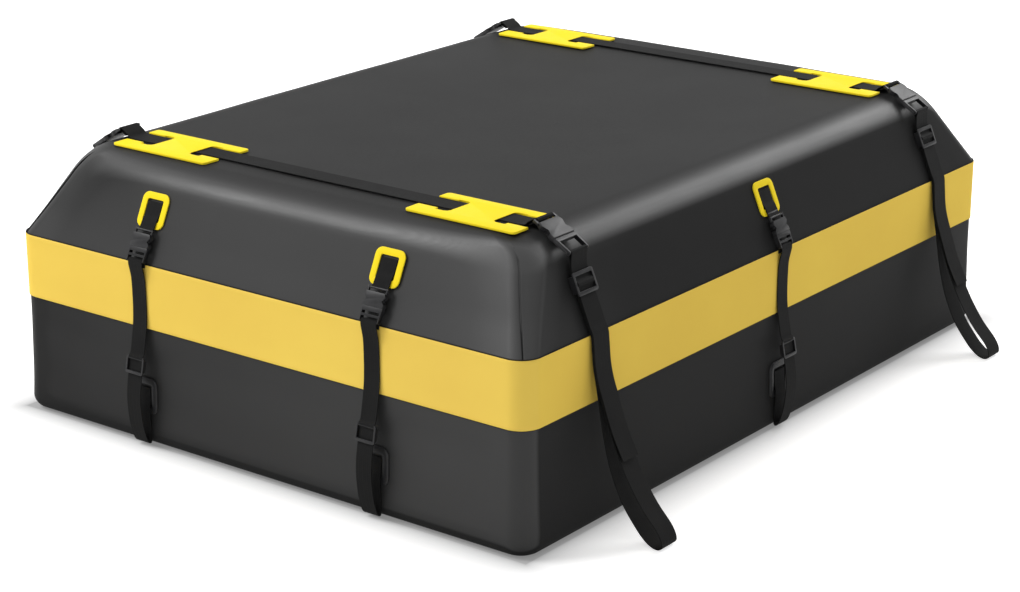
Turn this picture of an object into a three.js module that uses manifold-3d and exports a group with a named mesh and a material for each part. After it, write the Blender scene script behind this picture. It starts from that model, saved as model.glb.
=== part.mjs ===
// Soft roof cargo bag: an open tub and a crowned lid of coated fabric, closed by a zip under a
// flap, with two webbing straps over the top, four corner straps and six side straps on
// side release buckles.
//
// Units are millimetres. X is the width, -Y the front, +Z up. The origin is the middle of the
// base. Each strap is drawn in its own upright frame, in which +X points away from the bag, X = 0
// is the outer face of the flap and Z = 0 is the floor.

import * as THREE from 'three';
import Module from 'manifold-3d';
import { mergeVertices } from 'three/addons/utils/BufferGeometryUtils.js';

const wasm = await Module();
wasm.setup();

// Bag
const bagWidth = 864;
const bagLength = 1127;
const bagHeight = 370;
const fabric = 3;
const cornerRadius = 30;
const bottomEdgeRadius = 18;
const tubFlare = 4;
const seat = 0.3;

// Flap over the zip
const flapBottom = 164;
const flapTop = 251.5;
const flapThickness = 1.5;

// Lid panels: slope above the horizontal, in degrees, and the shoulder that rolls over to the top
const endSlope = 67;
const endShoulder = 61;
const mitreSlope = 57;
const mitreShoulder = 24;
const crownSlope = 65;
const crownShoulder = 56;
const crownPower = 4;
const crownSag = 0.2;
const topCornerRadius = 42;

// Zip
const zipHeight = 225;
const zipRecess = 8;
const tubRim = 216;
const lidRim = 234;
const recessSlant = 9;
const tapeThickness = 0.8;
const beadSize = 2.4;
const beadGap = 1.6;
const sliderWidth = 13;
const sliderLength = 20;
const sliderPlate = 1.4;
const sliderClearance = 0.4;
const sliderPlace = 12;
const pullLength = 26;
const pullWidth = 9;
const pullThickness = 1.2;
const pullLift = 1.7;

// Webbing
const webbingThickness = 1.2;
const webbingGap = 0.4;
const wideWebbing = 32;
const narrowWebbing = 25;
const chordTolerance = 0.2;

// Guide plates on the top. They lie shifted to the right along their straps, and to the front of
// them. A plate's slot and the slot's head each lie off its middle line, towards the back.
const plateLength = 169;
const plateWidth = 88;
const plateThickness = 2.8;
const plateCorner = 5;
const plateFromBar = 98.2;
const plateShift = 8;
const plateFromStrap = 8.1;
const strapInset = 141;
const slotWidth = 40.5;
const slotOffset = 4.6;
const slotDepth = 50.5;
const slotHeadLength = 20;
const slotHeadWidth = 49;
const slotHeadOffset = 2.6;

// Side rings and the patches below them
const sideSpacing = 198.5;
const ringWidth = 46.5;
const ringHeight = 47.5;
const ringBar = 9;
const ringThickness = 1.6;
const ringCorner = 10;
const ringUpSlope = 47;
const patchBottom = 46;
const patchHeight = 49;
const patchWidth = 48;

// Buckles, measured along the buckle from the middle of its first bar
const wideBuckle = {
  webbing: wideWebbing, width: 41, span: 59, thickness: 6.8, bar: 1.7, slot: 17,
  body: 5.5, mouth: 34, edge: 0.8, roof: 1.4, wall: 2, ceiling: 3, arm: 3, guide: 4.5,
};
const narrowBuckle = {
  webbing: narrowWebbing, width: 32, span: 41, thickness: 7.2, bar: 1.5, slot: 3.6,
  body: 4.8, mouth: 23, edge: 0, roof: 1.4, wall: 1.8, ceiling: 2.4, arm: 2.6, guide: 3.5,
};
const buckleClearance = 0.4;
const wideGlide = { webbing: wideWebbing, width: 40, height: 29, end: 4.8, plies: 3 };
const narrowGlide = { webbing: narrowWebbing, width: 31, height: 24, end: 4, plies: 1 };
const glideThickness = 2.2;
const glideBar = 1.4;
const glideBarHeight = 7;
const glideLift = 0.6;
const sideGlideShare = 0.3;

// Where the hardware sits: the corner buckle's last bar on the end panel, below the panel's top
// and off its face, how far its first bar is above that, and the corner slide's place on the way
// up to the bar; and the side buckle's last bar, out from the flap and above it
const barBelowTop = 27.6;
const barOffPanel = 12.5;
const cornerBarRise = 31;
const cornerGlideShare = 0.618;
const sideBarOut = 3.7;
const sideBarUp = 5.2;

const rad = THREE.MathUtils.degToRad;
const halfWidth = bagWidth / 2;
const halfLength = bagLength / 2;
const underFlap = flapThickness + seat;
const lidRise = bagHeight - flapTop;
const ply = webbingThickness + webbingGap;
const strapRow = halfLength - strapInset;

// Materials
function material(color, roughness) {
  return new THREE.MeshStandardMaterial({ color, roughness, metalness: 0 });
}
const coatedFabric = material(0x37383a, 0.55);
const flapFabric = material(0xf1cf62, 0.6);
const yellowPlastic = material(0xffe436, 0.45);
const blackWebbing = material(0x1c1c1d, 0.8);
const blackPlastic = material(0x222325, 0.4);

const bag = new THREE.Group();

function addMesh(parent, name, geometry, finish) {
  geometry.computeVertexNormals();
  const mesh = new THREE.Mesh(geometry, finish);
  mesh.name = name;
  parent.add(mesh);
  return mesh;
}

// Joins and cuts
function solidOf(geometry) {
  const plain = geometry.clone();
  plain.deleteAttribute('normal');
  plain.deleteAttribute('uv');
  const merged = mergeVertices(plain, 1e-4);
  return new wasm.Manifold(new wasm.Mesh({
    numProp: 3,
    vertProperties: new Float32Array(merged.attributes.position.array),
    triVerts: new Uint32Array(merged.index.array),
  }));
}

function geometryOf(solid) {
  const mesh = solid.getMesh();
  const geometry = new THREE.BufferGeometry();
  geometry.setAttribute('position', new THREE.BufferAttribute(mesh.vertProperties, 3));
  geometry.setIndex(new THREE.BufferAttribute(mesh.triVerts, 1));
  return geometry;
}

function join(geometries) {
  const [first, ...rest] = geometries.map(solidOf);
  return rest.reduce((whole, piece) => whole.add(piece), first);
}

function cut(solid, geometries) {
  return geometries.map(solidOf).reduce((whole, tool) => whole.subtract(tool), solid);
}

// A box given by its lowest and highest corner
function block(low, high) {
  const size = high.map((value, axis) => value - low[axis]);
  const centre = high.map((value, axis) => (value + low[axis]) / 2);
  return new THREE.BoxGeometry(...size).translate(...centre);
}

// Closed mesh through rings of equal count: capped at both ends, or joined back to the first ring
function loft(rings, closed = false) {
  const count = rings[0].length;
  const points = rings.flat();
  const index = [];
  const spans = closed ? rings.length : rings.length - 1;
  for (let ring = 0; ring < spans; ring += 1) {
    const next = (ring + 1) % rings.length;
    for (let i = 0; i < count; i += 1) {
      const j = (i + 1) % count;
      const quad = [ring * count + i, ring * count + j, next * count + j, next * count + i];
      index.push(quad[0], quad[1], quad[2], quad[0], quad[2], quad[3]);
    }
  }
  if (!closed) {
    capRing(points, index, rings[0], 0, true);
    capRing(points, index, rings.at(-1), (rings.length - 1) * count, false);
  }
  const geometry = new THREE.BufferGeometry();
  const place = points.flatMap((point) => point.toArray());
  geometry.setAttribute('position', new THREE.Float32BufferAttribute(place, 3));
  geometry.setIndex(signedVolume(points, index) < 0 ? index.reverse() : index);
  return geometry;
}

function capRing(points, index, ring, start, flipped) {
  const middle = new THREE.Vector3();
  ring.forEach((point) => middle.addScaledVector(point, 1 / ring.length));
  const centre = points.push(middle) - 1;
  ring.forEach((point, i) => {
    const j = (i + 1) % ring.length;
    index.push(centre, start + (flipped ? j : i), start + (flipped ? i : j));
  });
}

function signedVolume(points, index) {
  let volume = 0;
  for (let i = 0; i < index.length; i += 3) {
    const [a, b, c] = [0, 1, 2].map((k) => points[index[i + k]]);
    volume += a.dot(b.clone().cross(c)) / 6;
  }
  return volume;
}

// Level ring round the bag. insetX and insetY are how far its end and its long panels lie inside
// the flap's outer face, and bulge lets the front and back panels crown out between the corners.
const cornerSteps = 4;

function ringRound(insetX, insetY, radius, z, longSteps = 1, bulge = 0) {
  const x = halfWidth - insetX - radius;
  const y = halfLength - insetY - radius;
  const points = [];
  for (let side = 0; side < 4; side += 1) {
    const signX = side === 0 || side === 3 ? 1 : -1;
    const signY = side < 2 ? 1 : -1;
    for (let step = 0; step <= cornerSteps; step += 1) {
      const turn = (side + step / cornerSteps) * Math.PI / 2;
      const cornerX = signX * x + radius * Math.cos(turn);
      points.push(new THREE.Vector3(cornerX, signY * y + radius * Math.sin(turn), z));
    }
    for (let step = 1; side % 2 === 0 && step < longSteps; step += 1) {
      const share = 2 * step / longSteps - 1;
      const out = y + radius + bulge * crownShare(share);
      points.push(new THREE.Vector3(-signX * share * x, signY * out, z));
    }
  }
  return points;
}

function levelRing(inset, z, longSteps = 1) {
  return ringRound(inset, inset, cornerRadius - inset, z, longSteps);
}

function crownShare(share) {
  return 1 - Math.abs(share) ** crownPower;
}

// How far a sloping panel has run in at a height, with a shoulder that ends level at the top
function panelInset(height, rise, slope, shoulder) {
  const angle = rad(slope);
  const roll = shoulder * Math.tan(angle / 2);
  const tangent = rise - roll * Math.sin(angle);
  if (height <= tangent) {
    return height / Math.tan(angle);
  }
  const drop = Math.max(rise - height, 0);
  const across = Math.sqrt(Math.max(shoulder ** 2 - (shoulder - drop) ** 2, 0));
  return rise / Math.tan(angle) + roll - across;
}

// Lid
const lidLongSteps = 6;
const lidOuterSteps = 7;
const lidInnerSteps = 4;

function lidHeights(rise, shoulder, steps) {
  const heights = [0];
  for (let step = 0; step <= steps; step += 1) {
    const turn = rad(endSlope) * (1 - step / steps);
    heights.push(rise - shoulder * (1 - Math.cos(turn)));
  }
  return heights;
}

// One skin of the lid, from its base up, at a depth below its outer face
function lidSkin(depth, steps) {
  const rise = lidRise - depth;
  const run = (height, slope, shoulder) => (
    underFlap + depth / Math.sin(rad(slope)) + panelInset(height, rise, slope, shoulder - depth));
  return lidHeights(rise, endShoulder - depth, steps).map((height) => {
    const end = run(height, endSlope, endShoulder);
    const mitre = run(height, mitreSlope, mitreShoulder);
    const crown = run(height, crownSlope, crownShoulder);
    const radius = THREE.MathUtils.lerp(cornerRadius, topCornerRadius, height / rise);
    const level = flapTop + height;
    return ringRound(end, mitre, radius - underFlap - depth, level, lidLongSteps, mitre - crown);
  });
}

function lidSolid() {
  const recessed = underFlap + zipRecess;
  const skirtTop = flapTop - recessSlant;
  const skirt = (inset, z) => levelRing(inset, z, lidLongSteps);
  return loft([
    ...lidSkin(0, lidOuterSteps).reverse(),
    skirt(recessed, skirtTop),
    skirt(recessed, lidRim),
    skirt(recessed + fabric, lidRim),
    skirt(recessed + fabric, skirtTop),
    ...lidSkin(fabric, lidInnerSteps),
  ]);
}

// Tub, with the patch that holds each side strap's lower end sewn to its wall
const edgeSteps = 4;

function tubFillet(depth) {
  const radius = bottomEdgeRadius - depth;
  const rings = [];
  for (let step = 0; step <= edgeSteps; step += 1) {
    const turn = step / edgeSteps * Math.PI / 2;
    const inset = underFlap - tubFlare + depth + radius * (1 - Math.sin(turn));
    rings.push(levelRing(inset, depth + radius * (1 - Math.cos(turn))));
  }
  return rings;
}

// How far the tub's wall stands out from the flap's face, at a height between its edge and the flap
function tubOut(height) {
  return tubFlare * (flapBottom - height) / (flapBottom - bottomEdgeRadius) - underFlap;
}

function tubSolid() {
  const recessed = underFlap + zipRecess;
  const shell = solidOf(loft([
    ...tubFillet(0),
    levelRing(underFlap, flapBottom),
    levelRing(underFlap, tubRim - 2 * recessSlant),
    levelRing(recessed, tubRim - recessSlant),
    levelRing(recessed, tubRim),
    levelRing(recessed + fabric, tubRim),
    levelRing(recessed + fabric, tubRim - recessSlant),
    levelRing(underFlap + fabric, tubRim - 2 * recessSlant),
    levelRing(underFlap + fabric, flapBottom),
    ...tubFillet(fabric).reverse(),
  ]));
  const lean = Math.atan2(tubFlare, flapBottom - bottomEdgeRadius);
  const middle = patchBottom + patchHeight / 2;
  const patches = sidePlaces.map((place) => {
    const patch = ringPatch(patchWidth, patchHeight, ringThickness + fabric / 2);
    patch.translate(-fabric / 2, 0, 0).rotateY(-lean).translate(tubOut(middle), 0, middle);
    return patch.applyMatrix4(frameOf(place).matrix);
  });
  return geometryOf(patches.map(solidOf).reduce((whole, patch) => whole.add(patch), shell));
}

// Flat outlines. A plate stands in the strap frame: its outline's X runs along the bag's wall, its
// outline's Y runs up, and its thickness runs outwards from X = 0.
const upright = new THREE.Matrix4().makeBasis(
  new THREE.Vector3(0, 1, 0), new THREE.Vector3(0, 0, 1), new THREE.Vector3(1, 0, 0));

function roundedOutline(width, height, radius, Kind = THREE.Shape) {
  const [x, y] = [width / 2, height / 2];
  const outline = new Kind();
  outline.moveTo(x, y - radius);
  outline.absarc(x - radius, y - radius, radius, 0, Math.PI / 2);
  outline.absarc(radius - x, y - radius, radius, Math.PI / 2, Math.PI);
  outline.absarc(radius - x, radius - y, radius, Math.PI, 1.5 * Math.PI);
  outline.absarc(x - radius, radius - y, radius, 1.5 * Math.PI, 2 * Math.PI);
  outline.closePath();
  return outline;
}

function plate(outline, thickness, edge = 0, steps = 1) {
  const geometry = new THREE.ExtrudeGeometry(outline, {
    depth: thickness - 2 * edge, curveSegments: steps, bevelEnabled: edge > 0,
    bevelThickness: edge, bevelSize: edge, bevelOffset: -edge, bevelSegments: 1,
  });
  return geometry.translate(0, 0, edge).applyMatrix4(upright);
}

function ringPatch(width, height, thickness, steps = 1) {
  const outline = roundedOutline(width, height, ringCorner);
  const hole = roundedOutline(width - 2 * ringBar, height - 2 * ringBar, ringCorner / 4, THREE.Path);
  outline.holes.push(hole);
  return plate(outline, thickness, 0, steps);
}

// Points of a curve, leaving out those that lie within the tolerance of the chord between others
function thinned(points) {
  const [first, last] = [points[0], points.at(-1)];
  const along = last.clone().sub(first).normalize();
  const offs = points.map((point) => Math.abs(point.clone().sub(first).cross(along)));
  const furthest = offs.indexOf(Math.max(...offs));
  if (offs[furthest] < chordTolerance || points.length < 3) {
    return [first, last];
  }
  const before = thinned(points.slice(0, furthest + 1));
  return [...before.slice(0, -1), ...thinned(points.slice(furthest))];
}

// Webbing along a line of points (x outwards, y up) in the strap frame
function ribbon(line, width, steps) {
  const points = thinned(new THREE.SplineCurve(line).getSpacedPoints(steps));
  const side = (sign) => points.map((point, i) => {
    const before = points[Math.max(i - 1, 0)];
    const after = points[Math.min(i + 1, points.length - 1)];
    const along = after.clone().sub(before).normalize();
    const across = new THREE.Vector2(-along.y, along.x);
    return point.clone().addScaledVector(across, sign * webbingThickness / 2);
  });
  const outline = new THREE.Shape([...side(1), ...side(-1).reverse()]);
  const geometry = new THREE.ExtrudeGeometry(outline, { depth: width, bevelEnabled: false });
  return geometry.translate(0, 0, -width / 2).rotateX(Math.PI / 2);
}

// Points on a panel: up its slope from the lid's base, and off its face
function onSlope(slope, up, off) {
  const angle = rad(slope);
  return new THREE.Vector2(
    off * Math.sin(angle) - up * Math.cos(angle) - underFlap,
    flapTop + up * Math.sin(angle) + off * Math.cos(angle));
}

// Points round a bar, from one angle to another in degrees
function roundBar(centre, radius, from, to, count) {
  return Array.from({ length: count }, (_, i) => {
    const turn = rad(from + (to - from) * i / (count - 1));
    return new THREE.Vector2(
      centre.x + radius * Math.cos(turn), centre.y + radius * Math.sin(turn));
  });
}

// Side release buckle. Both halves are drawn hanging down from the first bar's middle, and
// hangBuckle turns them to run from one bar to the other.
function polygon(points, Kind = THREE.Shape) {
  return new Kind(points.map(([x, y]) => new THREE.Vector2(x, y)));
}

function mirrored(points) {
  return [...points, ...points.map(([x, y]) => [-x, y]).reverse()];
}

function bar(size, level) {
  const length = size.width - 2;
  return new THREE.CylinderGeometry(size.bar, size.bar, length, 8).translate(0, 0, level);
}

function rails(size, top, bottom) {
  const inside = size.webbing / 2 + 0.8;
  const outside = size.width / 2 - 0.5;
  return [-1, 1].map((sign) => {
    const [low, high] = [sign * inside, sign * outside].sort((a, b) => a - b);
    return block([-size.bar, low, bottom], [size.bar, high, top]);
  });
}

function centred(outline, thickness, edge = 0) {
  return plate(outline, thickness, edge).translate(-thickness / 2, 0, 0);
}

function socketSolid(size) {
  const half = size.width / 2;
  const shoulder = size.body + size.width * 0.14;
  const outline = polygon(mirrored([
    [half - 2, -size.body], [half, -shoulder], [half, -size.mouth],
  ]));
  const cavityHalf = half - size.wall;
  const cavityDeep = size.thickness / 2 - size.roof;
  const roofLevel = -size.body - size.ceiling;
  const notchTop = -size.body - size.ceiling - 1;
  const notchBottom = -size.mouth + 3.5;
  const notches = [-1, 1].map((sign) => centred(polygon([
    [sign * (half + 1), notchTop], [sign * (half + 1), notchBottom],
    [sign * (cavityHalf - size.wall), (notchTop + notchBottom) / 2 - 1],
  ]), size.thickness + 2));
  const whole = join([
    centred(outline, size.thickness, size.edge), bar(size, 0), ...rails(size, size.bar, -size.body - 1),
  ]);
  return geometryOf(cut(whole, [
    block([-cavityDeep, -cavityHalf, -size.mouth - 1], [cavityDeep, cavityHalf, roofLevel]),
    ...notches,
  ]));
}

// The arms are drawn pressed in, as they are while the buckle is being opened
function tongueSolid(size) {
  const half = size.width / 2;
  const top = -size.mouth - seat;
  const end = -size.span - size.bar;
  const thickness = size.thickness - 0.8;
  const armDeep = size.thickness - 2 * size.roof - 2 * buckleClearance;
  const armHalf = half - size.wall - buckleClearance;
  const tip = -size.body - size.ceiling - 1;
  const slotHalf = size.webbing / 2 + 0.8;
  const lastSlot = -size.span + size.bar;
  const midBar = lastSlot + size.slot;
  const firstSlot = midBar + 2 * size.bar;
  const outline = polygon(mirrored([[half, top], [half, top - 4], [half - 1.5, end]]));
  const slots = [lastSlot, firstSlot].filter((level) => level + size.slot < top - 1.5);
  const windows = slots.map((level) => block(
    [-thickness, -slotHalf, level], [thickness, slotHalf, level + size.slot]));
  const inner = armHalf - 2 - size.arm;
  const arms = [-1, 1].map((sign) => centred(polygon([
    [sign * inner, top - 1], [sign * inner, tip + 1], [sign * (inner + 1), tip],
    [sign * (armHalf - 1.5), tip], [sign * armHalf, tip - 4], [sign * armHalf, tip - 7.5],
    [sign * (inner + size.arm), tip - 9], [sign * (inner + size.arm), top - 1],
  ]), armDeep));
  const guide = centred(polygon(mirrored([
    [size.guide / 2, top - 1], [size.guide / 2, tip - 4],
  ])), armDeep);
  const opened = block([-thickness, -slotHalf, end - 1], [thickness, slotHalf, lastSlot + 0.5]);
  const body = cut(join([centred(outline, thickness, size.edge)]), [...windows, opened]);
  const added = [...arms, guide, bar(size, -size.span)].map(solidOf);
  return geometryOf(added.reduce((whole, piece) => whole.add(piece), body));
}

function hangBuckle(mesh, firstBar, lastBar) {
  const along = lastBar.clone().sub(firstBar);
  mesh.position.set(firstBar.x, 0, firstBar.y);
  mesh.rotation.y = -Math.atan2(along.x, -along.y);
  return mesh;
}

// Three bar slide: end bars in front of the webbing and the middle bar behind it
function glideSolid(size) {
  const stack = (size.plies * webbingThickness + (size.plies - 1) * webbingGap) / 2 + webbingGap;
  const outline = roundedOutline(size.width, size.height, 3);
  const windowHeight = size.height - 2 * size.end;
  outline.holes.push(roundedOutline(size.webbing + 1, windowHeight, 1, THREE.Path));
  const front = plate(outline, glideThickness).translate(stack, 0, 0);
  const [inside, outside] = [size.webbing / 2 + 0.5, size.width / 2];
  const depth = stack + glideBar;
  const sides = [-1, 1].map((sign) => {
    const [low, high] = [sign * inside, sign * outside].sort((a, b) => a - b);
    const reach = size.height / 2 - 4;
    return block([-depth, low, -reach], [stack + glideThickness / 2, high, reach]);
  });
  const middle = glideBarHeight / 2;
  const back = block([-depth, -outside + 0.5, -middle], [-stack, outside - 0.5, middle]);
  return geometryOf(join([front, ...sides, back]));
}

// Guide plates: an H with a T shaped slot in from each short end, and a channel under the middle.
// The outline's +Y side faces the back of the bag.
function guidePlate() {
  const [x, y] = [plateLength / 2, plateWidth / 2];
  const deep = x - slotDepth;
  const neck = deep + slotHeadLength;
  const centre = new THREE.Vector2(x - plateCorner, y - plateCorner);
  const corner = roundBar(centre, plateCorner, 0, 90, 4).map((point) => point.toArray());
  const half = (side) => {
    const slot = side * slotOffset + slotWidth / 2;
    const head = side * slotHeadOffset + slotHeadWidth / 2;
    const right = [
      [deep, head - 6], [deep + 1.8, head - 1.8], [deep + 6, head], [neck - 1.5, head],
      [neck, head - 1.5], [neck, slot], [x, slot], ...corner,
    ];
    return mirrored(right);
  };
  const outline = polygon([...half(1), ...half(-1).map(([px, py]) => [-px, -py])]);
  const slab = new THREE.ExtrudeGeometry(outline, { depth: plateThickness, bevelEnabled: false });
  const channel = 2 * webbingGap + webbingThickness;
  const [low, high] = [slotOffset - slotWidth / 2, slotOffset + slotWidth / 2];
  return geometryOf(cut(join([slab]), [block([-neck, low, -1], [neck, high, channel])]));
}

// Frames for the straps
function frameOf({ x, y, turn }) {
  const frame = new THREE.Group();
  frame.position.set(x, y, 0);
  frame.rotation.z = turn;
  frame.updateMatrix();
  return frame;
}

const quarter = Math.PI / 2;
const cornerPlaces = [
  { name: 'front_left', x: -halfWidth, y: -strapRow, turn: 2 * quarter },
  { name: 'front_right', x: halfWidth, y: -strapRow, turn: 0 },
  { name: 'back_left', x: -halfWidth, y: strapRow, turn: 2 * quarter },
  { name: 'back_right', x: halfWidth, y: strapRow, turn: 0 },
];
const sidePlaces = [
  { name: 'front_left', x: -sideSpacing, y: -halfLength, turn: -quarter },
  { name: 'front_right', x: sideSpacing, y: -halfLength, turn: -quarter },
  { name: 'back_left', x: -sideSpacing, y: halfLength, turn: quarter },
  { name: 'back_right', x: sideSpacing, y: halfLength, turn: quarter },
  { name: 'left', x: -halfWidth, y: 0, turn: 2 * quarter },
  { name: 'right', x: halfWidth, y: 0, turn: 0 },
];

// Shells
addMesh(bag, 'tub', tubSolid(), coatedFabric);
addMesh(bag, 'lid', lidSolid(), coatedFabric);

// A strip round the bag, with a section given by how far in and how high its corners are
function strip(section) {
  return loft(section.map(([inset, z]) => levelRing(inset, z)), true);
}

addMesh(bag, 'zip_flap', strip([
  [0, flapBottom], [0, flapTop], [flapThickness, flapTop], [flapThickness, flapBottom],
]), flapFabric);

// Zip: two tapes sewn outside the rims, each with half of the coil along its free edge
const tapeInset = underFlap + zipRecess - seat - tapeThickness;
const beadInset = tapeInset + (tapeThickness - beadSize) / 2;

function tapeSolid(sewnEdge, side) {
  const free = zipHeight + side * beadGap / 2;
  const beadFoot = free + side * beadSize;
  return strip([
    [tapeInset, sewnEdge], [tapeInset, beadFoot], [beadInset, beadFoot], [beadInset, free],
    [beadInset + beadSize, free], [beadInset + beadSize, beadFoot],
    [tapeInset + tapeThickness, beadFoot], [tapeInset + tapeThickness, sewnEdge],
  ]);
}
addMesh(bag, 'zip_tape_lower', tapeSolid(tubRim - recessSlant + 1, -1), blackWebbing);
addMesh(bag, 'zip_tape_upper', tapeSolid(flapTop - recessSlant - 1, 1), blackWebbing);

// Zip slider: two plates joined by a web between the coils, and a flat pull held by a bail
function zipSliderSolid() {
  const front = sliderClearance - beadInset;
  const back = -beadInset - beadSize - sliderClearance;
  const nose = roundedOutline(sliderLength, sliderWidth, 4);
  const outer = plate(nose, sliderPlate).translate(front, 0, 0);
  const inner = plate(nose, sliderPlate).translate(back - sliderPlate, 0, 0);
  const webHalf = beadGap / 2 - sliderClearance;
  const webEnd = sliderLength / 2 - 2;
  const web = block([back - 0.5, webEnd - 5, -webHalf], [front + 0.5, webEnd, webHalf]);
  const pullBack = front + sliderPlate + pullLift - pullThickness;
  const bail = block([front + sliderPlate - 0.5, -2, -2], [pullBack + pullThickness, 3, 2]);
  const pull = plate(roundedOutline(pullLength, pullWidth, 3), pullThickness);
  pull.translate(pullBack, pullLength / 2 - 2, 0);
  return geometryOf(join([outer, inner, web, bail, pull]));
}

function addZipSlider(name, side) {
  const frame = frameOf({ x: side * (sliderPlace + sliderLength / 2), y: -halfLength, turn: -quarter });
  const slider = addMesh(frame, name, zipSliderSolid(), blackPlastic);
  slider.position.z = zipHeight;
  slider.rotation.x = side > 0 ? 0 : Math.PI;
  bag.add(frame);
}
addZipSlider('zip_slider_left', -1);
addZipSlider('zip_slider_right', 1);

// Bars of the corner buckle, in the strap frame
const cornerBarUp = lidRise / Math.sin(rad(endSlope)) - barBelowTop;
const cornerLastBar = onSlope(endSlope, cornerBarUp, barOffPanel);
const cornerFirstBar = new THREE.Vector2(
  cornerLastBar.x - Math.sqrt(wideBuckle.span ** 2 - cornerBarRise ** 2),
  cornerLastBar.y + cornerBarRise);

// Guide plates and the webbing that runs through them over the top
const plateOutset = halfWidth + cornerFirstBar.x - plateFromBar;

for (const [row, side] of [['front', -1], ['back', 1]]) {
  for (const [end, sign] of [['left', -1], ['right', 1]]) {
    const mesh = addMesh(bag, `guide_plate_${row}_${end}`, guidePlate(), yellowPlastic);
    const [x, y] = [sign * plateOutset + plateShift, side * strapRow - plateFromStrap];
    mesh.position.set(x, y, bagHeight + seat);
  }
  const mesh = addMesh(bag, `top_strap_${row}`, topStrap(), blackWebbing);
  mesh.position.y = side * strapRow;
}

// From the middle of the bag out to the right, over the corner buckle's bar and back under itself
function topStrapHalf() {
  const flat = bagHeight + 2 * seat + webbingThickness / 2;
  const bar = cornerFirstBar.clone().setX(cornerFirstBar.x + halfWidth);
  const loopRadius = wideBuckle.bar + webbingGap + webbingThickness / 2;
  const rise = bar.y - flat;
  return [
    ...[0, 0.25, 0.5, 0.72, 0.86].map((share) => new THREE.Vector2(share * (bar.x - 20), flat)),
    new THREE.Vector2(bar.x - 22, flat + 0.2),
    new THREE.Vector2(bar.x - 13, flat + 0.52 * rise),
    new THREE.Vector2(bar.x - 6, flat + 0.98 * rise),
    ...roundBar(bar, loopRadius, 105, -80, 8),
    new THREE.Vector2(bar.x - 5, bar.y - loopRadius - 1.2),
    new THREE.Vector2(bar.x - 10, bar.y - loopRadius - 4.6),
  ];
}

function topStrap() {
  const half = topStrapHalf();
  const mirror = half.slice(1).map((point) => new THREE.Vector2(-point.x, point.y)).reverse();
  return ribbon([...mirror, ...half], wideWebbing, 700);
}

// Webbing that hangs free: points out from the flap and up from the floor, both given as shares of
// the height of the flap's top
function hanging(...shares) {
  return shares.map(([out, up]) => new THREE.Vector2(out * flapTop, up * flapTop));
}

// Corner straps: sewn on itself behind the slide, down to a loop on the floor, up through the
// slide, round the tongue's last bar and down again to a free end
function cornerStrap() {
  const middle = glideOff(wideGlide);
  const [inner, centre, outer] = [middle - ply, middle, middle + ply];
  const loopRadius = wideBuckle.bar + webbingGap + webbingThickness / 2;
  const up = (off, ...shares) => shares.map((share) => (
    onSlope(endSlope, share * cornerBarUp, off)));
  const toBar = (off, side, share, across) => onSlope(
    endSlope, share * cornerBarUp,
    THREE.MathUtils.lerp(off, barOffPanel + side * loopRadius, across));
  return ribbon([
    ...up(inner, 0.83, 0.69, 0.545, 0.395, 0.25, 0.1),
    ...hanging([0.008, 1.002], [0.0143, 0.9543], [0.0239, 0.8509], [0.0382, 0.7753]),
    ...hanging([0.0577, 0.668], [0.0835, 0.5249], [0.1272, 0.3579], [0.1988, 0.1988]),
    ...hanging([0.2823, 0.0875], [0.334, 0.0358], [0.3738, 0.0119], [0.4095, 0.0064]),
    ...hanging([0.4334, 0.0219], [0.4294, 0.0557], [0.3996, 0.1034], [0.3221, 0.1869]),
    ...hanging([0.2465, 0.2942], [0.1829, 0.4095], [0.1252, 0.5408], [0.07, 0.6998]),
    ...hanging([0.0453, 0.7753], [0.0298, 0.8509], [0.0203, 0.9543], [0.0139, 1.0036]),
    ...up(centre, 0.1, 0.25, 0.395, 0.545, 0.69, 0.79),
    toBar(centre, -1, 0.864, 0.32),
    toBar(centre, -1, 0.933, 0.78),
    ...roundBar(cornerLastBar, loopRadius, 192, 10, 8),
    toBar(outer, 1, 0.928, 0.565),
    toBar(outer, 1, 0.859, 0.238),
    ...up(outer, 0.79, 0.69, 0.545, 0.395, 0.25, 0.1),
    ...hanging([0.0199, 1.0052], [0.0262, 0.9543], [0.0362, 0.8509], [0.0529, 0.7753]),
    ...hanging([0.0787, 0.6998], [0.1352, 0.5447], [0.2048, 0.4076]),
  ], wideWebbing, 900);
}

// Height of the webbing's middle off the panel, so that a slide round it just clears the panel
function glideOff(size) {
  const stack = (size.plies * webbingThickness + (size.plies - 1) * webbingGap) / 2;
  return stack + webbingGap + glideBar + glideLift;
}

for (const place of cornerPlaces) {
  const frame = frameOf(place);
  bag.add(frame);
  const { name } = place;
  const socket = addMesh(frame, `corner_socket_${name}`, socketSolid(wideBuckle), blackPlastic);
  const tongue = addMesh(frame, `corner_tongue_${name}`, tongueSolid(wideBuckle), blackPlastic);
  hangBuckle(socket, cornerFirstBar, cornerLastBar);
  hangBuckle(tongue, cornerFirstBar, cornerLastBar);
  addMesh(frame, `corner_strap_${name}`, cornerStrap(), blackWebbing);
  const slide = addMesh(frame, `corner_slide_${name}`, glideSolid(wideGlide), blackPlastic);
  const centre = onSlope(endSlope, cornerGlideShare * cornerBarUp, glideOff(wideGlide));
  slide.position.set(centre.x, 0, centre.y);
  slide.rotation.y = -rad(90 - endSlope);
}

// Side straps: a tab sewn inside a ring on the lid holds the socket, and webbing runs from the
// tongue through a slide, down to the floor and back up into the patch on the tub
const sideLastBar = new THREE.Vector2(sideBarOut, flapTop + sideBarUp);

function panelAt(place) {
  if (place.y === 0) {
    return { slope: endSlope };
  }
  const share = crownShare(sideSpacing / (halfWidth - cornerRadius));
  const run = (slope) => 1 / Math.tan(rad(slope));
  const blended = THREE.MathUtils.lerp(run(mitreSlope), run(crownSlope), share);
  return { slope: THREE.MathUtils.radToDeg(Math.atan(1 / blended)) };
}

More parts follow.
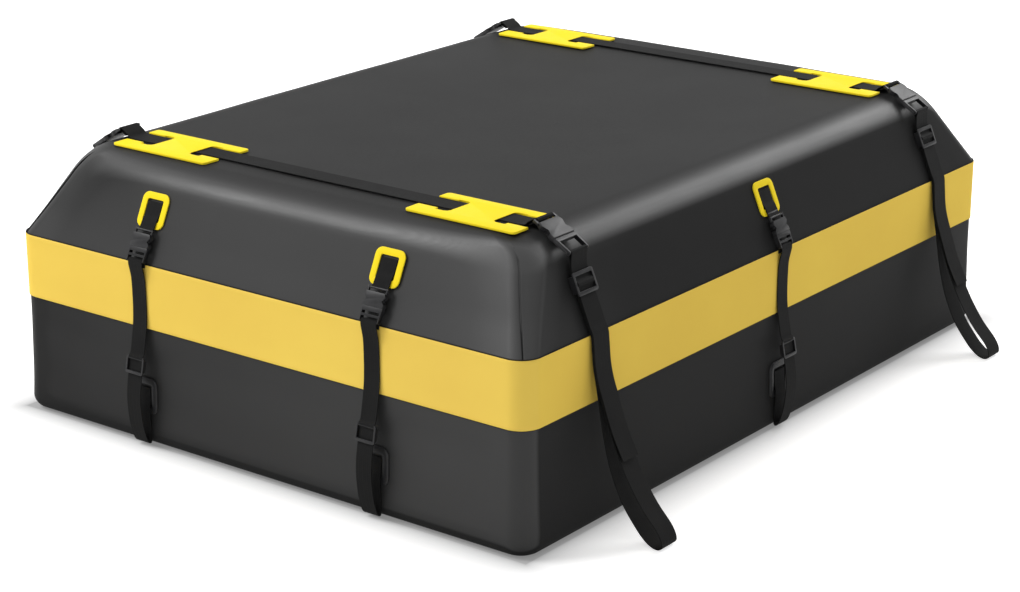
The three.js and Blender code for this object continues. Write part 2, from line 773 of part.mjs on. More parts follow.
function sideRing(slope) {
  const ring = ringPatch(ringWidth, ringHeight, ringThickness, 2);
  const centre = onSlope(slope, ringUpSlope + ringHeight / 2, seat + crownSag);
  ring.rotateY(-rad(90 - slope));
  return ring.translate(centre.x, 0, centre.y);
}

function sideSocket(slope) {
  const firstBar = sideFirstBar(slope);
  const socket = hangBuckle(new THREE.Mesh(socketSolid(narrowBuckle)), firstBar, sideLastBar);
  socket.updateMatrix();
  const lying = seat + webbingThickness / 2;
  const over = ringThickness + 2 * seat + webbingThickness / 2;
  const tab = ribbon([
    onSlope(slope, ringUpSlope + ringHeight - ringBar - 3, lying),
    onSlope(slope, ringUpSlope + ringBar + 9, lying),
    onSlope(slope, ringUpSlope + ringBar + 3, over),
    onSlope(slope, ringUpSlope + ringBar - 3, over + 0.6),
    onSlope(slope, ringUpSlope - 1, over + 1.6),
    firstBar,
  ], narrowWebbing, 60);
  return geometryOf(solidOf(socket.geometry.applyMatrix4(socket.matrix)).add(solidOf(tab)));
}

function sideFirstBar(slope) {
  const angle = rad(slope);
  return sideLastBar.clone().add(
    new THREE.Vector2(-Math.cos(angle), Math.sin(angle)).multiplyScalar(narrowBuckle.span));
}

const [glideHigh, glideLow] = hanging([0.0239, 0.5964], [0.0644, 0.3976]);

function sideStrap() {
  const loopRadius = narrowBuckle.bar + webbingGap + webbingThickness / 2;
  const fromBar = (across, down) => new THREE.Vector2(
    sideLastBar.x + across, sideLastBar.y - down * narrowBuckle.bar);
  const onWall = (height, off) => new THREE.Vector2(
    tubOut(height) + seat + webbingThickness / 2 + off, height);
  const overPatch = ringThickness + seat;
  const patchTop = patchBottom + patchHeight;
  return ribbon([
    fromBar(-loopRadius, 6),
    fromBar(-loopRadius, 2.7),
    ...roundBar(sideLastBar, loopRadius, 170, 10, 7),
    fromBar(loopRadius, 4),
    ...hanging([0.0151, 0.9543], [0.0088, 0.9185], [0.006, 0.8549], [0.006, 0.7555]),
    ...hanging([0.0111, 0.6759]),
    glideHigh,
    glideHigh.clone().lerp(glideLow, 0.5),
    glideLow,
    ...hanging([0.0763, 0.326], [0.0803, 0.2624], [0.0763, 0.1909], [0.0656, 0.1193]),
    ...hanging([0.0485, 0.0596], [0.0334, 0.0298], [0.0187, 0.0215], [0.0119, 0.0318]),
    ...hanging([0.0131, 0.0596]),
    onWall(patchBottom - 2.4 * ringBar, 0.3),
    onWall(patchBottom - 1.3 * ringBar, 0.6),
    onWall(patchBottom - ringBar / 3, overPatch),
    onWall(patchBottom + 1.2 * ringBar, overPatch),
    onWall(patchBottom + 1.9 * ringBar, 0.5),
    onWall(patchBottom + 2.55 * ringBar, 0),
    onWall(patchTop - 1.45 * ringBar, 0),
  ], narrowWebbing, 500);
}

for (const place of sidePlaces) {
  const frame = frameOf(place);
  bag.add(frame);
  const { slope } = panelAt(place);
  addMesh(frame, `side_ring_${place.name}`, sideRing(slope), yellowPlastic);
  addMesh(frame, `side_socket_${place.name}`, sideSocket(slope), blackPlastic);
  const tongue = addMesh(frame, `side_tongue_${place.name}`, tongueSolid(narrowBuckle), blackPlastic);
  hangBuckle(tongue, sideFirstBar(slope), sideLastBar);
  addMesh(frame, `side_strap_${place.name}`, sideStrap(), blackWebbing);
  const slide = addMesh(frame, `side_slide_${place.name}`, glideSolid(narrowGlide), blackPlastic);
  const along = glideHigh.clone().sub(glideLow);
  const centre = glideLow.clone().lerp(glideHigh, sideGlideShare);
  slide.position.set(centre.x, 0, centre.y);
  slide.rotation.y = Math.atan2(along.x, along.y);
}

export default bag;
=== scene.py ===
"""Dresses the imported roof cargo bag: soft shells, flap, webbing, guide plates, rings and buckles.

Lengths are in metres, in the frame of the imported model: X across the bag, -Y the front, Z up, and
the origin in the middle of the base. A strap is drawn in its own upright frame, in which X points
away from the bag, X = 0 is the outer face of the flap and Z = 0 is the floor.
"""

import math

import bmesh
import bpy
from bpy.props import FloatProperty, FloatVectorProperty, PointerProperty
from mathutils import Matrix, Vector, noise


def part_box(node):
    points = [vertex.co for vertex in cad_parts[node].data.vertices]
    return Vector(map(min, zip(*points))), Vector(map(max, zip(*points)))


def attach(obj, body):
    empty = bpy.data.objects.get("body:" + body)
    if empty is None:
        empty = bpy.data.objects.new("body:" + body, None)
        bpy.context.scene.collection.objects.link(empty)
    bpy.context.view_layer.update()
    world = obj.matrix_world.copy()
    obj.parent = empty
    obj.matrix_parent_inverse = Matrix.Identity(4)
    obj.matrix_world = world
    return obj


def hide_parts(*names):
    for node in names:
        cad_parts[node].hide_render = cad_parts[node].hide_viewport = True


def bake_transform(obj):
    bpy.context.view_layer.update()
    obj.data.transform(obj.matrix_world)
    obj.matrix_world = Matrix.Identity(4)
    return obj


bl_info = {
    "name": "Roof Cargo Bag",
    "version": (1, 0, 0),
    "blender": (4, 5, 0),
    "location": "View3D > Sidebar > Roof Bag",
    "description": "Builds the visual model of a soft roof cargo bag round its packed frame",
    "category": "Object",
}

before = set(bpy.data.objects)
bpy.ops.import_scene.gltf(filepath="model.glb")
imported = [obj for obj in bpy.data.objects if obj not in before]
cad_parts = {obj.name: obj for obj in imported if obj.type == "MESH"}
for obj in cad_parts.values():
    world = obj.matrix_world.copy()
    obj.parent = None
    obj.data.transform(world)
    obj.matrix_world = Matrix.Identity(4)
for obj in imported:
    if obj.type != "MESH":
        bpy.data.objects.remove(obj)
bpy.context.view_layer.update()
MM = 0.001

# Places taken from the frame
FLAP_LOW, FLAP_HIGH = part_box("zip_flap")
HALF_WIDTH = FLAP_HIGH[0]
HALF_LENGTH = FLAP_HIGH[1]
FLAP_BOTTOM = FLAP_LOW[2]
FLAP_TOP = FLAP_HIGH[2]
LID_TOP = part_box("lid")[1][2]
LID_RISE = LID_TOP - FLAP_TOP
UNDER_FLAP = HALF_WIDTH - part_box("lid")[1][0]

# Shells
FABRIC = 3 * MM
ZIP_RECESS = 8 * MM
TUB_RIM = 216 * MM
LID_RIM = 234 * MM
RECESS_SLANT = 9 * MM
CROWN_POWER = 4
TUB_FLARE = 4 * MM
SEAT = 0.3 * MM
SMOOTH_ANGLE = math.radians(32)
OUTER_STEPS = (9, 16)
INNER_STEPS = (4, 6)
TOP_SHARES = [0.985, 0.96] + [0.92 - 0.0525 * step for step in range(17)] + [0.03]
LINING_SHARES = (0.8, 0.4, 0.03)
SLACK_HOLD = 35 * MM
SLACK_SCALES = (4.5, 13)

# The seam at each corner of the lid
SEAM_FADE = (0.8, 0.93)
SEAM_EDGE = 0.2 * MM
SEAM_WIDTH = 2.2 * MM
LIP_PLACE = 1.8 * MM
LIP_WIDTH = 2.4 * MM
PUCKER_WIDTH = 9 * MM
PUCKER_SCALE = 60

# The flap's hems, and dark strips along its edges that paint the shadow lines there
HEM = 6 * MM
HEM_STEP = 1.2 * MM
HEM_EDGE, HEM_LINE, HEM_FLAT = 0.05 * MM, 0.18 * MM, 0.1 * MM
SHADOW_STRIP = 0.9 * MM
SHADOW_STRIPS = (
    ("flap_binding_top", FLAP_TOP + 0.4 * MM), ("flap_binding_bottom", FLAP_BOTTOM - 0.2 * MM),
)

CORNERS = ("front_left", "front_right", "back_left", "back_right")
SIDES = (*CORNERS, "left", "right")

# Webbing and the hardware on it
PLY_GAP = 0.4 * MM
STATION = 2.5 * MM
SIDE_SPACING = 198.5 * MM
STRAP_ROW = HALF_LENGTH - 141 * MM
LOOP_CLEARANCE = 0.4 * MM
WIDE_BAR = 1.7 * MM
WIDE_SPAN = 59 * MM
BAR_BELOW_TOP = 27.6 * MM
BAR_OFF_PANEL = 12.5 * MM
BAR_RISE = 31 * MM
BULGE = 3.4 * MM
NARROW_BULGE = 2.6 * MM
NARROW_BAR = 1.5 * MM
NARROW_SPAN = 41 * MM
RING_SIZE = (46.5 * MM, 47.5 * MM)
RING_UP_SLOPE = 47 * MM
RING_BAR = 9 * MM
RING_THICKNESS = 1.6 * MM
RING_CORNER = 10 * MM
PATCH_SIZE = (48 * MM, 49 * MM)
PATCH_BOTTOM = 46 * MM
RING_SUNK = 0.5 * MM
DARK_SHEET_INSET = Vector((3 * MM, 8 * MM, 0))
DARK_SHEET_HEIGHTS = (0.02 * MM, 0.2 * MM)
TAB_EXTRA = 0.3 * MM
PLATE_EDGE = 0.3 * MM
BUCKLE_EDGE = 0.25 * MM
SLIDER_EDGE = 0.2 * MM
BEVEL_ANGLE = math.radians(38)

# Where the fabric shines: turned this far from the view, and near this slope of the shoulders
FABRIC_PITCH = 1.1 * MM
TAPE_PITCH = 1.6 * MM
SHEEN_TURN = (0.26, 0.38)
SHEEN_LEFT = 0.1
SHOULDER_UPRIGHT = 0.76
SHOULDER_REACH = (0.09, 0.24)
WOVEN_SPECULAR = 0.06

# The studio: for each softbox its direction, distance and size
KEY_SOFTBOX = (Vector((-0.51, -0.46, 0.73)), 5.0, 1.8)
BACK_SOFTBOX = (Vector((0.18, 0.74, 0.62)), 4.2, 1.8)
FLOOR_REACH = 30
# A shadow painted on the floor round the bag: its darkest colour, and the share of the lift left at
# the bag's edge
PAINTED_SHADOW_COLOUR = (0.3, 0.3, 0.3, 1)
LIFT_IN_PAINTED_SHADOW = 0.3

# The photograph's camera
CAMERA_PLACE = Vector((2.0619, -2.7266, 1.2431))
CAMERA_RIGHT = Vector((0.7945, 0.6073, 0.0))
CAMERA_UP = Vector((-0.1930, 0.2525, 0.9482))
CAMERA_LENS = 88.25
CAMERA_SENSOR = 36


def length(name, description, millimetres):
    """A length that a user can change, given in millimetres."""
    return FloatProperty(
        name=name, description=description, default=millimetres * MM, unit="LENGTH", precision=4
    )


def degrees(name, description, value):
    """An angle that a user can change, given in degrees."""
    return FloatProperty(
        name=name, description=description, default=math.radians(value), subtype="ANGLE"
    )


def strength(name, description, value, unit="NONE"):
    """A strength that a user can change."""
    return FloatProperty(name=name, description=description, default=value, min=0, unit=unit)


def colour(name, description, value):
    """A colour that a user can change."""
    return FloatVectorProperty(
        name=name, description=description, subtype="COLOR", size=3, min=0, max=1, default=value
    )


class RoofBagShells(bpy.types.PropertyGroup):
    """Sizes of the lid, the tub and the flap"""

    corner_radius: length("Corner radius", "Of the upright corners, at the flap's face", 30)
    top_corner_radius: length("Top corner radius", "Of the corners where the top begins", 42)
    bottom_radius: length("Bottom radius", "Of the edge that the bag stands on", 18)
    end_shoulder: length("End shoulder", "How roundly the left and right panels meet the top", 61)
    mitre_shoulder: length("Mitre shoulder", "The same on the front and back, at the corners", 24)
    crown_shoulder: length("Crown shoulder", "The same on the front and back, in the middle", 56)
    end_slope: degrees("End slope", "Slope of the left and right panels", 67)
    mitre_slope: degrees("Mitre slope", "Slope of the front and back panels at the corners", 57)
    crown_slope: degrees("Crown slope", "Slope of the front and back panels in the middle", 65)
    slack: length("Slack", "How far the fabric lies in between its edges", 1.5)
    top_sag: length("Top sag", "How far the top hangs in its middle", 2.0)
    seam_depth: length("Seam depth", "How far a long panel sinks into the seam at a corner", 2.4)
    seam_lip: length("Seam lip", "How far a short panel's edge stands up beside that seam", 0.9)
    pucker: length("Pucker", "How far the fabric gathers beside a seam", 0.5)
    seam_lean: degrees("Seam lean", "How far round to the long panel the seam bends going up", 15)
    flap_thickness: length("Flap thickness", "Of the folded edge of the flap", 1.5)


class RoofBagWebbing(bpy.types.PropertyGroup):
    """Sizes of the webbing"""

    thickness: length("Thickness", "Of one ply", 1.2)
    wide: length("Wide webbing", "Of the top and corner straps", 32)
    narrow: length("Narrow webbing", "Of the side straps", 25)
    rib: length("Rib", "Width of one column of the weave", 3.2)
    pick: length("Pick", "Distance between the threads along the webbing", 1.1)


class RoofBagColours(bpy.types.PropertyGroup):
    """Colours of the bag's materials"""

    fabric: colour("Fabric", "Coated fabric of the lid and tub", (0.0215, 0.0215, 0.0215))
    flap: colour("Flap", "Coated fabric of the flap", (0.90, 0.62, 0.105))
    yellow: colour("Yellow plastic", "Guide plates and rings", (1.0, 0.75, 0.014))
    webbing: colour("Webbing", "Straps", (0.0075, 0.0075, 0.0075))
    plastic: colour("Black plastic", "Buckles, slides and lower patches", (0.011, 0.011, 0.012))
    floor: colour("Floor", "Studio floor", (0.90, 0.90, 0.90))


class RoofBagStudio(bpy.types.PropertyGroup):
    """Strengths of the studio's lights"""

    key: strength("Key", "Softbox over the front left", 150, "POWER")
    back: strength("Back", "Softbox behind the bag", 80, "POWER")
    sky: strength("Sky", "Even light from all round", 0.46)
    floor_lift: strength("Floor lift", "Brightness added to the floor for the camera", 0.66)


# Shell shapes

def corner_turns():
    """Angles across one corner, closer together beside the seam in its middle."""
    coarse = [7.5 * step for step in range(13)]
    fine = [45 + side * offset for side in (-1, 1) for offset in (0.7, 1.5, 2.5, 3.6, 5, 11)]
    return [math.radians(angle) for angle in sorted(coarse + fine)]


CORNER_TURNS = corner_turns()
PANEL_STEPS = 28
OVAL_SHARE = 0.95
OVAL_FROM = 0.55


def crown_share(share):
    """How much of the crown shows at a share of the way from a panel's middle to its end."""
    return 1 - abs(share) ** CROWN_POWER


def ring_round(inset_x, inset_y, radius, z, bulge=0.0, crease=None, lean=0.0):
    """Points of a level ring round the bag.

    crease gives how far a corner point lies in, from its distance past the seam to the short panel
    and its height. lean turns the seam towards the long panel.
    """
    x = HALF_WIDTH - inset_x - radius
    y = HALF_LENGTH - inset_y - radius
    points = []
    for side in range(4):
        sign_x = 1 if side in (0, 3) else -1
        sign_y = 1 if side < 2 else -1
        to_long = 1 if side % 2 == 0 else -1
        for turn in CORNER_TURNS:
            past = -to_long * (turn - math.pi / 4) * radius
            reach = radius - (crease(past, z) if crease else 0)
            angle = side * math.pi / 2 + turn + to_long * lean * math.sin(2 * turn)
            points.append(Vector((
                sign_x * x + reach * math.cos(angle), sign_y * y + reach * math.sin(angle), z
            )))
        for step in range(1, PANEL_STEPS):
            share = 2 * step / PANEL_STEPS - 1
            if side % 2 == 0:
                out = y + radius + bulge * crown_share(share)
                points.append(Vector((-sign_x * share * x, sign_y * out, z)))
            else:
                points.append(Vector((sign_x * (x + radius), -sign_y * share * y, z)))
    return points


def level_ring(inset, z, radius):
    """A ring of one inset all round."""
    return ring_round(inset, inset, radius - inset, z)


def panel_inset(height, rise, slope, shoulder):
    """How far a sloping panel has run in at a height, with a shoulder that ends level."""
    roll = shoulder * math.tan(slope / 2)
    tangent = rise - roll * math.sin(slope)
    if height <= tangent:
        return height / math.tan(slope)
    drop = max(rise - height, 0)
    across = math.sqrt(max(shoulder ** 2 - (shoulder - drop) ** 2, 0))
    return rise / math.tan(slope) + roll - across


def seam_crease(sizes):
    """The seam at a corner: the long panel sinks into it and the short panel's edge stands up."""
    fade_start, fade_end = (FLAP_TOP + share * LID_RISE for share in SEAM_FADE)

    def crease(past, z):
        fade = min(max((fade_end - z) / (fade_end - fade_start), 0), 1)
        gather = sizes.pucker * math.exp(-abs(past) / PUCKER_WIDTH)
        gather *= noise.noise(Vector((0, 0, z * PUCKER_SCALE)))
        if past <= SEAM_EDGE:
            return fade * (gather + sizes.seam_depth * math.exp(-abs(past) / SEAM_WIDTH))
        return fade * (gather - sizes.seam_lip * math.exp(-((past - LIP_PLACE) / LIP_WIDTH) ** 2))

    return crease


def seam_lean(sizes, share):
    """How far round the seam lies at a share of the lid's rise."""
    return sizes.seam_lean * (0.2 + 0.8 * math.sin(min(share / 0.72, 1) * math.pi / 2))


def lid_heights(rise, shoulder, slope, steps):
    """Heights of the lid's rings: even up the panel, and then evenly round the shoulder."""
    straight_steps, shoulder_steps = steps
    foot = rise - shoulder * (1 - math.cos(slope))
    straight = [foot * step / straight_steps for step in range(straight_steps)]
    turns = [slope * (1 - step / shoulder_steps) for step in range(shoulder_steps + 1)]
    return straight + [rise - shoulder * (1 - math.cos(turn)) for turn in turns]


def lid_skin(sizes, depth, steps, crease=None):
    """Rings of one skin of the lid, from its base up, at a depth below its outer face."""
    rise = LID_RISE - depth

    def run(height, slope, shoulder):
        inset = panel_inset(height, rise, slope, shoulder - depth)
        return UNDER_FLAP + depth / math.sin(slope) + inset

    rings = []
    for height in lid_heights(rise, sizes.end_shoulder - depth, sizes.end_slope, steps):
        end = run(height, sizes.end_slope, sizes.end_shoulder)
        mitre = run(height, sizes.mitre_slope, sizes.mitre_shoulder)
        crown = run(height, sizes.crown_slope, sizes.crown_shoulder)
        share = height / rise
        radius = sizes.corner_radius * (1 - share) + sizes.top_corner_radius * share
        rings.append(ring_round(end, mitre, radius - UNDER_FLAP - depth, FLAP_TOP + height,
                                mitre - crown, crease, seam_lean(sizes, share)))
    return rings


def shrunk(ring, shares, sag=0.0):
    """Copies of a ring drawn in towards its middle, hanging lowest there.

    The copies turn into ovals of evenly spaced points on their way in.
    """
    wide = max(point.x for point in ring)
    long = max(point.y for point in ring)
    first_corner = len(CORNER_TURNS) // 2

    def hung(i, point, share):
        turn = math.pi / 4 + 2 * math.pi * (i - first_corner) / len(ring)
        across, along = OVAL_SHARE * wide * math.cos(turn), OVAL_SHARE * long * math.sin(turn)
        oval = Vector((across, along, point.z))
        spread = min((1 - share) / (1 - OVAL_FROM), 1)
        drawn = point.lerp(oval, spread * spread * (3 - 2 * spread)) * share
        hang = sag * (1 - (drawn.x / wide) ** 2) * (1 - (drawn.y / long) ** 2)
        return Vector((drawn.x, drawn.y, point.z - hang))

    return [[hung(i, point, share) for i, point in enumerate(ring)] for share in shares]


def add_object(name, mesh, slot):
    """A new smooth object from a mesh, with the material of one of the record's slots."""
    mesh.materials.append(finish(slot))
    piece = bpy.data.objects.new(name, mesh)
    bpy.context.scene.collection.objects.link(piece)
    mesh.shade_smooth()
    mesh.set_sharp_from_angle(angle=SMOOTH_ANGLE)
    return piece


def join_rows(form, rows):
    """Faces between rows of corners of equal count."""
    for low, high in zip(rows, rows[1:]):
        for i in range(len(low)):
            j = (i + 1) % len(low)
            form.faces.new((low[i], low[j], high[j], high[i]))


def made_mesh(name, form):
    """Turns the faces out and makes the mesh."""
    bmesh.ops.recalc_face_normals(form, faces=form.faces)
    mesh = bpy.data.meshes.new(name)
    form.to_mesh(mesh)
    form.free()
    return mesh


def loft(name, rings, closed=False):
    """Mesh through rings of equal count, capped by a fan at both ends or joined to itself."""
    form = bmesh.new()
    rows = [[form.verts.new(point) for point in ring] for ring in rings]
    join_rows(form, rows + rows[:1] if closed else rows)
    for row in () if closed else (rows[0], rows[-1]):
        middle = form.verts.new(sum((vert.co for vert in row), Vector()) / len(row))
        for i in range(len(row)):
            form.faces.new((row[i], row[(i + 1) % len(row)], middle))
    return made_mesh(name, form)


def slacken(mesh, slack, start, end):
    """Lets the outer skin between two heights lie in by a slow, uneven amount."""
    for vert in mesh.vertices:
        place = vert.co
        edge = min(abs(place.z - start), abs(end - place.z)) if start < place.z <= end else 0
        hold = min(edge / SLACK_HOLD, 1)
        slow, fast = (noise.noise(place * scale) for scale in SLACK_SCALES)
        uneven = 0.5 + 0.5 * slow + 0.25 * fast
        vert.co = place - vert.normal * slack * hold * min(max(uneven, 0), 1)


def build_lid(sizes):
    """The lid: an open topped skirt that the zip is sewn to, sloping panels and the top."""
    recessed = UNDER_FLAP + ZIP_RECESS
    skirt_top = FLAP_TOP - RECESS_SLANT
    radius = sizes.corner_radius
    outer = lid_skin(sizes, 0, OUTER_STEPS, seam_crease(sizes))
    inner = lid_skin(sizes, FABRIC, INNER_STEPS)
    rings = shrunk(outer[-1], TOP_SHARES[::-1], sizes.top_sag) + outer[::-1]
    rings += [level_ring(inset, z, radius) for inset, z in (
        (recessed, skirt_top), (recessed, LID_RIM),
        (recessed + FABRIC, LID_RIM), (recessed + FABRIC, skirt_top),
    )]
    rings += inner + shrunk(inner[-1], LINING_SHARES, sizes.top_sag)
    mesh = loft("lid_shell", rings)
    slacken(mesh, sizes.slack, FLAP_TOP, LID_TOP + 1)
    shell = add_object("lid_shell", mesh, "coated_fabric")
    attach(shell, "root")
    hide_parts("lid")


def tub_fillet(sizes, depth, steps):
    """Rings of the rounded edge that the tub stands on, at a depth below its outer face."""
    radius = sizes.bottom_radius - depth
    rings = []
    for step in range(steps + 1):
        turn = step / steps * math.pi / 2
        inset = UNDER_FLAP - TUB_FLARE + depth + radius * (1 - math.sin(turn))
        rings.append(level_ring(inset, depth + radius * (1 - math.cos(turn)), sizes.corner_radius))
    return rings


def tub_out(sizes, height):
    """How far the tub's wall stands out from the flap's face, at a height above its edge."""
    below = max(FLAP_BOTTOM - height, 0)
    return TUB_FLARE * below / (FLAP_BOTTOM - sizes.bottom_radius) - UNDER_FLAP


def build_tub(sizes):
    """The tub: its base, rounded bottom edge, walls and the rim that the zip is sewn to."""
    recessed = UNDER_FLAP + ZIP_RECESS
    radius = sizes.corner_radius
    wall_top = TUB_RIM - 2 * RECESS_SLANT
    edge = sizes.bottom_radius
    wall = [edge + (FLAP_BOTTOM - edge) * step / 12 for step in range(1, 13)] + [wall_top]
    outer = tub_fillet(sizes, 0, 8) + [level_ring(-tub_out(sizes, z), z, radius) for z in wall]
    outer += [level_ring(recessed, z, radius) for z in (TUB_RIM - RECESS_SLANT, TUB_RIM)]
    inner = [level_ring(inset, z, radius) for inset, z in (
        (recessed + FABRIC, TUB_RIM), (recessed + FABRIC, TUB_RIM - RECESS_SLANT),
        (UNDER_FLAP + FABRIC, wall_top), (UNDER_FLAP + FABRIC, FLAP_BOTTOM),
    )]
    inner += tub_fillet(sizes, FABRIC, 3)[::-1]
    base = shrunk(outer[0], LINING_SHARES[::-1])
    lining = shrunk(inner[-1], LINING_SHARES)
    mesh = loft("tub_shell", base + outer + inner + lining)
    slacken(mesh, sizes.slack, sizes.bottom_radius, FLAP_BOTTOM)
    shell = add_object("tub_shell", mesh, "coated_fabric")
    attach(shell, "root")
    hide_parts("tub")


def flap_section(thickness):
    """The flap's section as insets and heights: soft folded edges with a hem beside each."""
    soft = thickness / 2
    section = []
    for centre_z, start in ((FLAP_TOP - soft, 0), (FLAP_BOTTOM + soft, 180)):
        for turn in range(start, start + 181, 30):
            angle = math.radians(turn)
            section.append((soft * (1 - math.cos(angle)), centre_z + soft * math.sin(angle)))
    height = FLAP_TOP - FLAP_BOTTOM
    section += [(HEM_EDGE, FLAP_BOTTOM + HEM), (HEM_LINE, FLAP_BOTTOM + HEM + HEM_STEP)]
    section += [(HEM_FLAT, FLAP_BOTTOM + height * share) for share in (0.25, 0.5, 0.75)]
    section += [(HEM_LINE, FLAP_TOP - HEM - HEM_STEP), (HEM_EDGE, FLAP_TOP - HEM)]
    return section


def build_flap(sizes):
    """The flap over the zip: one band all round."""
    section = flap_section(sizes.flap_thickness)
    rings = [level_ring(inset, z, sizes.corner_radius) for inset, z in section]
    band = add_object("flap_band", loft("flap_band", rings, True), "flap_fabric")
    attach(band, "root")
    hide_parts("zip_flap")


def build_shadow_strips(sizes):
    """Dark strips above and below the flap, which paint the shadow lines in the gaps there."""
    for name, z in SHADOW_STRIPS:
        rings = []
        for step in range(8):
            turn = math.radians(45 * step)
            inset = UNDER_FLAP - SHADOW_STRIP * (0.6 + math.cos(turn))
            rings.append(level_ring(inset, z + SHADOW_STRIP * math.sin(turn), sizes.corner_radius))
        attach(add_object(name, loft(name, rings, True), "zip_tape"), "root")


# Strap frames and panels

def strap_frame(kind, end):
    """Matrix of a strap's upright frame."""
    right, front = end.endswith("right"), end.startswith("front")
    if kind == "corner" or end in ("left", "right"):
        x = HALF_WIDTH if right else -HALF_WIDTH
        y = 0 if kind == "side" else -STRAP_ROW if front else STRAP_ROW
        turn = 0 if right else math.pi
    else:
        x = SIDE_SPACING if right else -SIDE_SPACING
        y = -HALF_LENGTH if front else HALF_LENGTH
        turn = -math.pi / 2 if front else math.pi / 2
    return Matrix.Translation((x, y, 0)) @ Matrix.Rotation(turn, 4, "Z")


def panel_slope(sizes, end):
    """Slope of the lid's panel behind a side strap."""
    if end in ("left", "right"):
        return sizes.end_slope
    share = crown_share(SIDE_SPACING / (HALF_WIDTH - sizes.corner_radius))
    mitre_run = 1 / math.tan(sizes.mitre_slope)
    crown_run = 1 / math.tan(sizes.crown_slope)
    return math.atan(1 / (mitre_run + (crown_run - mitre_run) * share))


def on_slope(slope, up, off):
    """Point of the strap frame up a panel's slope from the lid's base and off its face."""
    return Vector((
        off * math.sin(slope) - up * math.cos(slope) - UNDER_FLAP,
        FLAP_TOP + up * math.sin(slope) + off * math.cos(slope),
    ))


def hanging(*shares):
    """Points of the strap frame, out and up, given as shares of the height of the flap's top."""
    return [Vector((out * FLAP_TOP, up * FLAP_TOP)) for out, up in shares]


def round_bar(centre, radius, start, end, count):
    """Points round a bar, from one angle to another in degrees."""
    turns = [math.radians(start + (end - start) * i / (count - 1)) for i in range(count)]
    return [centre + radius * Vector((math.cos(turn), math.sin(turn))) for turn in turns]


def curve_point(points, place):
    """Point of the smooth curve through points, place running from 0 to their number less 1."""
    first = min(int(place), len(points) - 2)
    t = place - first
    before = points[max(first - 1, 0)]
    start, end = points[first], points[first + 1]
    after = points[min(first + 2, len(points) - 1)]
    leave, arrive = (end - before) / 2, (after - start) / 2
    return (
        (2 * start - 2 * end + leave + arrive) * t ** 3
        + (3 * end - 3 * start - 2 * leave - arrive) * t ** 2 + leave * t + start
    )


def spaced(points, spacing):
    """Points at even distances along the smooth curve through points."""
    dense = [curve_point(points, i / 24) for i in range(24 * (len(points) - 1) + 1)]
    reach = [0.0]
    for a, b in zip(dense, dense[1:]):
        reach.append(reach[-1] + (b - a).length)
    count = max(round(reach[-1] / spacing), 2)
    line = []
    at = 0
    for step in range(count + 1):
        goal = reach[-1] * step / count
        while at < len(dense) - 2 and reach[at + 1] < goal:
            at += 1
        share = (goal - reach[at]) / max(reach[at + 1] - reach[at], 1e-9)
        line.append(dense[at].lerp(dense[at + 1], min(max(share, 0), 1)))
    return line


# Across a strap, as shares of its half width and half thickness
WEBBING_SECTION = (
    (-1, 0.35), (-0.975, 1), (-0.6, 1), (0, 1), (0.6, 1), (0.975, 1), (1, 0.35),
    (1, -0.35), (0.975, -1), (0.6, -1), (0, -1), (-0.6, -1), (-0.975, -1), (-1, -0.35),
)


def webbing(name, line, width, thickness, frame):
    """A flat strap along a line of the strap frame, with its place along and across it stored."""
    stations = spaced(line, STATION)
    form = bmesh.new()
    store = form.verts.layers.float_vector.new("web_place")
    rows = []
    for i, centre in enumerate(stations):
        along = stations[min(i + 1, len(stations) - 1)] - stations[max(i - 1, 0)]
        along.normalize()
        off = Vector((-along.y, along.x))
        row = []
        for share, side in WEBBING_SECTION:
            flat = centre + off * side * thickness / 2
            vert = form.verts.new((flat.x, share * width / 2, flat.y))
            vert[store] = (i * STATION, share * width / 2, side)
            row.append(vert)
        rows.append(row)
    join_rows(form, rows)
    form.faces.new(rows[0])
    form.faces.new(rows[-1][::-1])
    mesh = made_mesh(name, form)
    mesh.transform(frame)
    return add_object(name, mesh, "webbing")


def top_strap_line(sizes, web):
    """Over the top from the middle of the bag, round each corner buckle's bar and back under."""
    flat = LID_TOP + 2 * SEAT + web.thickness / 2
    bar = first_corner_bar(sizes.end_slope) + Vector((HALF_WIDTH, 0))
    loop = WIDE_BAR + LOOP_CLEARANCE + web.thickness / 2
    rise = bar.y - flat
    half = [Vector((share * (bar.x - 20 * MM), flat)) for share in (0, 0.25, 0.5, 0.72, 0.86)]
    half += [
        Vector((bar.x - 22 * MM, flat + 0.2 * MM)),
        Vector((bar.x - 13 * MM, flat + 0.52 * rise)),
        Vector((bar.x - 6 * MM, flat + 0.98 * rise)),
    ]
    half += round_bar(bar, loop, 105, -80, 8)
    half += [
        Vector((bar.x - 5 * MM, bar.y - loop - 1.2 * MM)),
        Vector((bar.x - 10 * MM, bar.y - loop - 4.6 * MM)),
    ]
    return [Vector((-point.x, point.y)) for point in half[:0:-1]] + half


def corner_bar_up(slope):
    """How far up the end panel the last bar of the corner buckle is."""
    return LID_RISE / math.sin(slope) - BAR_BELOW_TOP


def last_corner_bar(slope):
    """Middle of the bar that the corner strap goes round, in its frame."""
    return on_slope(slope, corner_bar_up(slope), BAR_OFF_PANEL)


def first_corner_bar(slope):
    """Middle of the bar that the top strap goes round."""
    return last_corner_bar(slope) + Vector((-math.sqrt(WIDE_SPAN ** 2 - BAR_RISE ** 2), BAR_RISE))


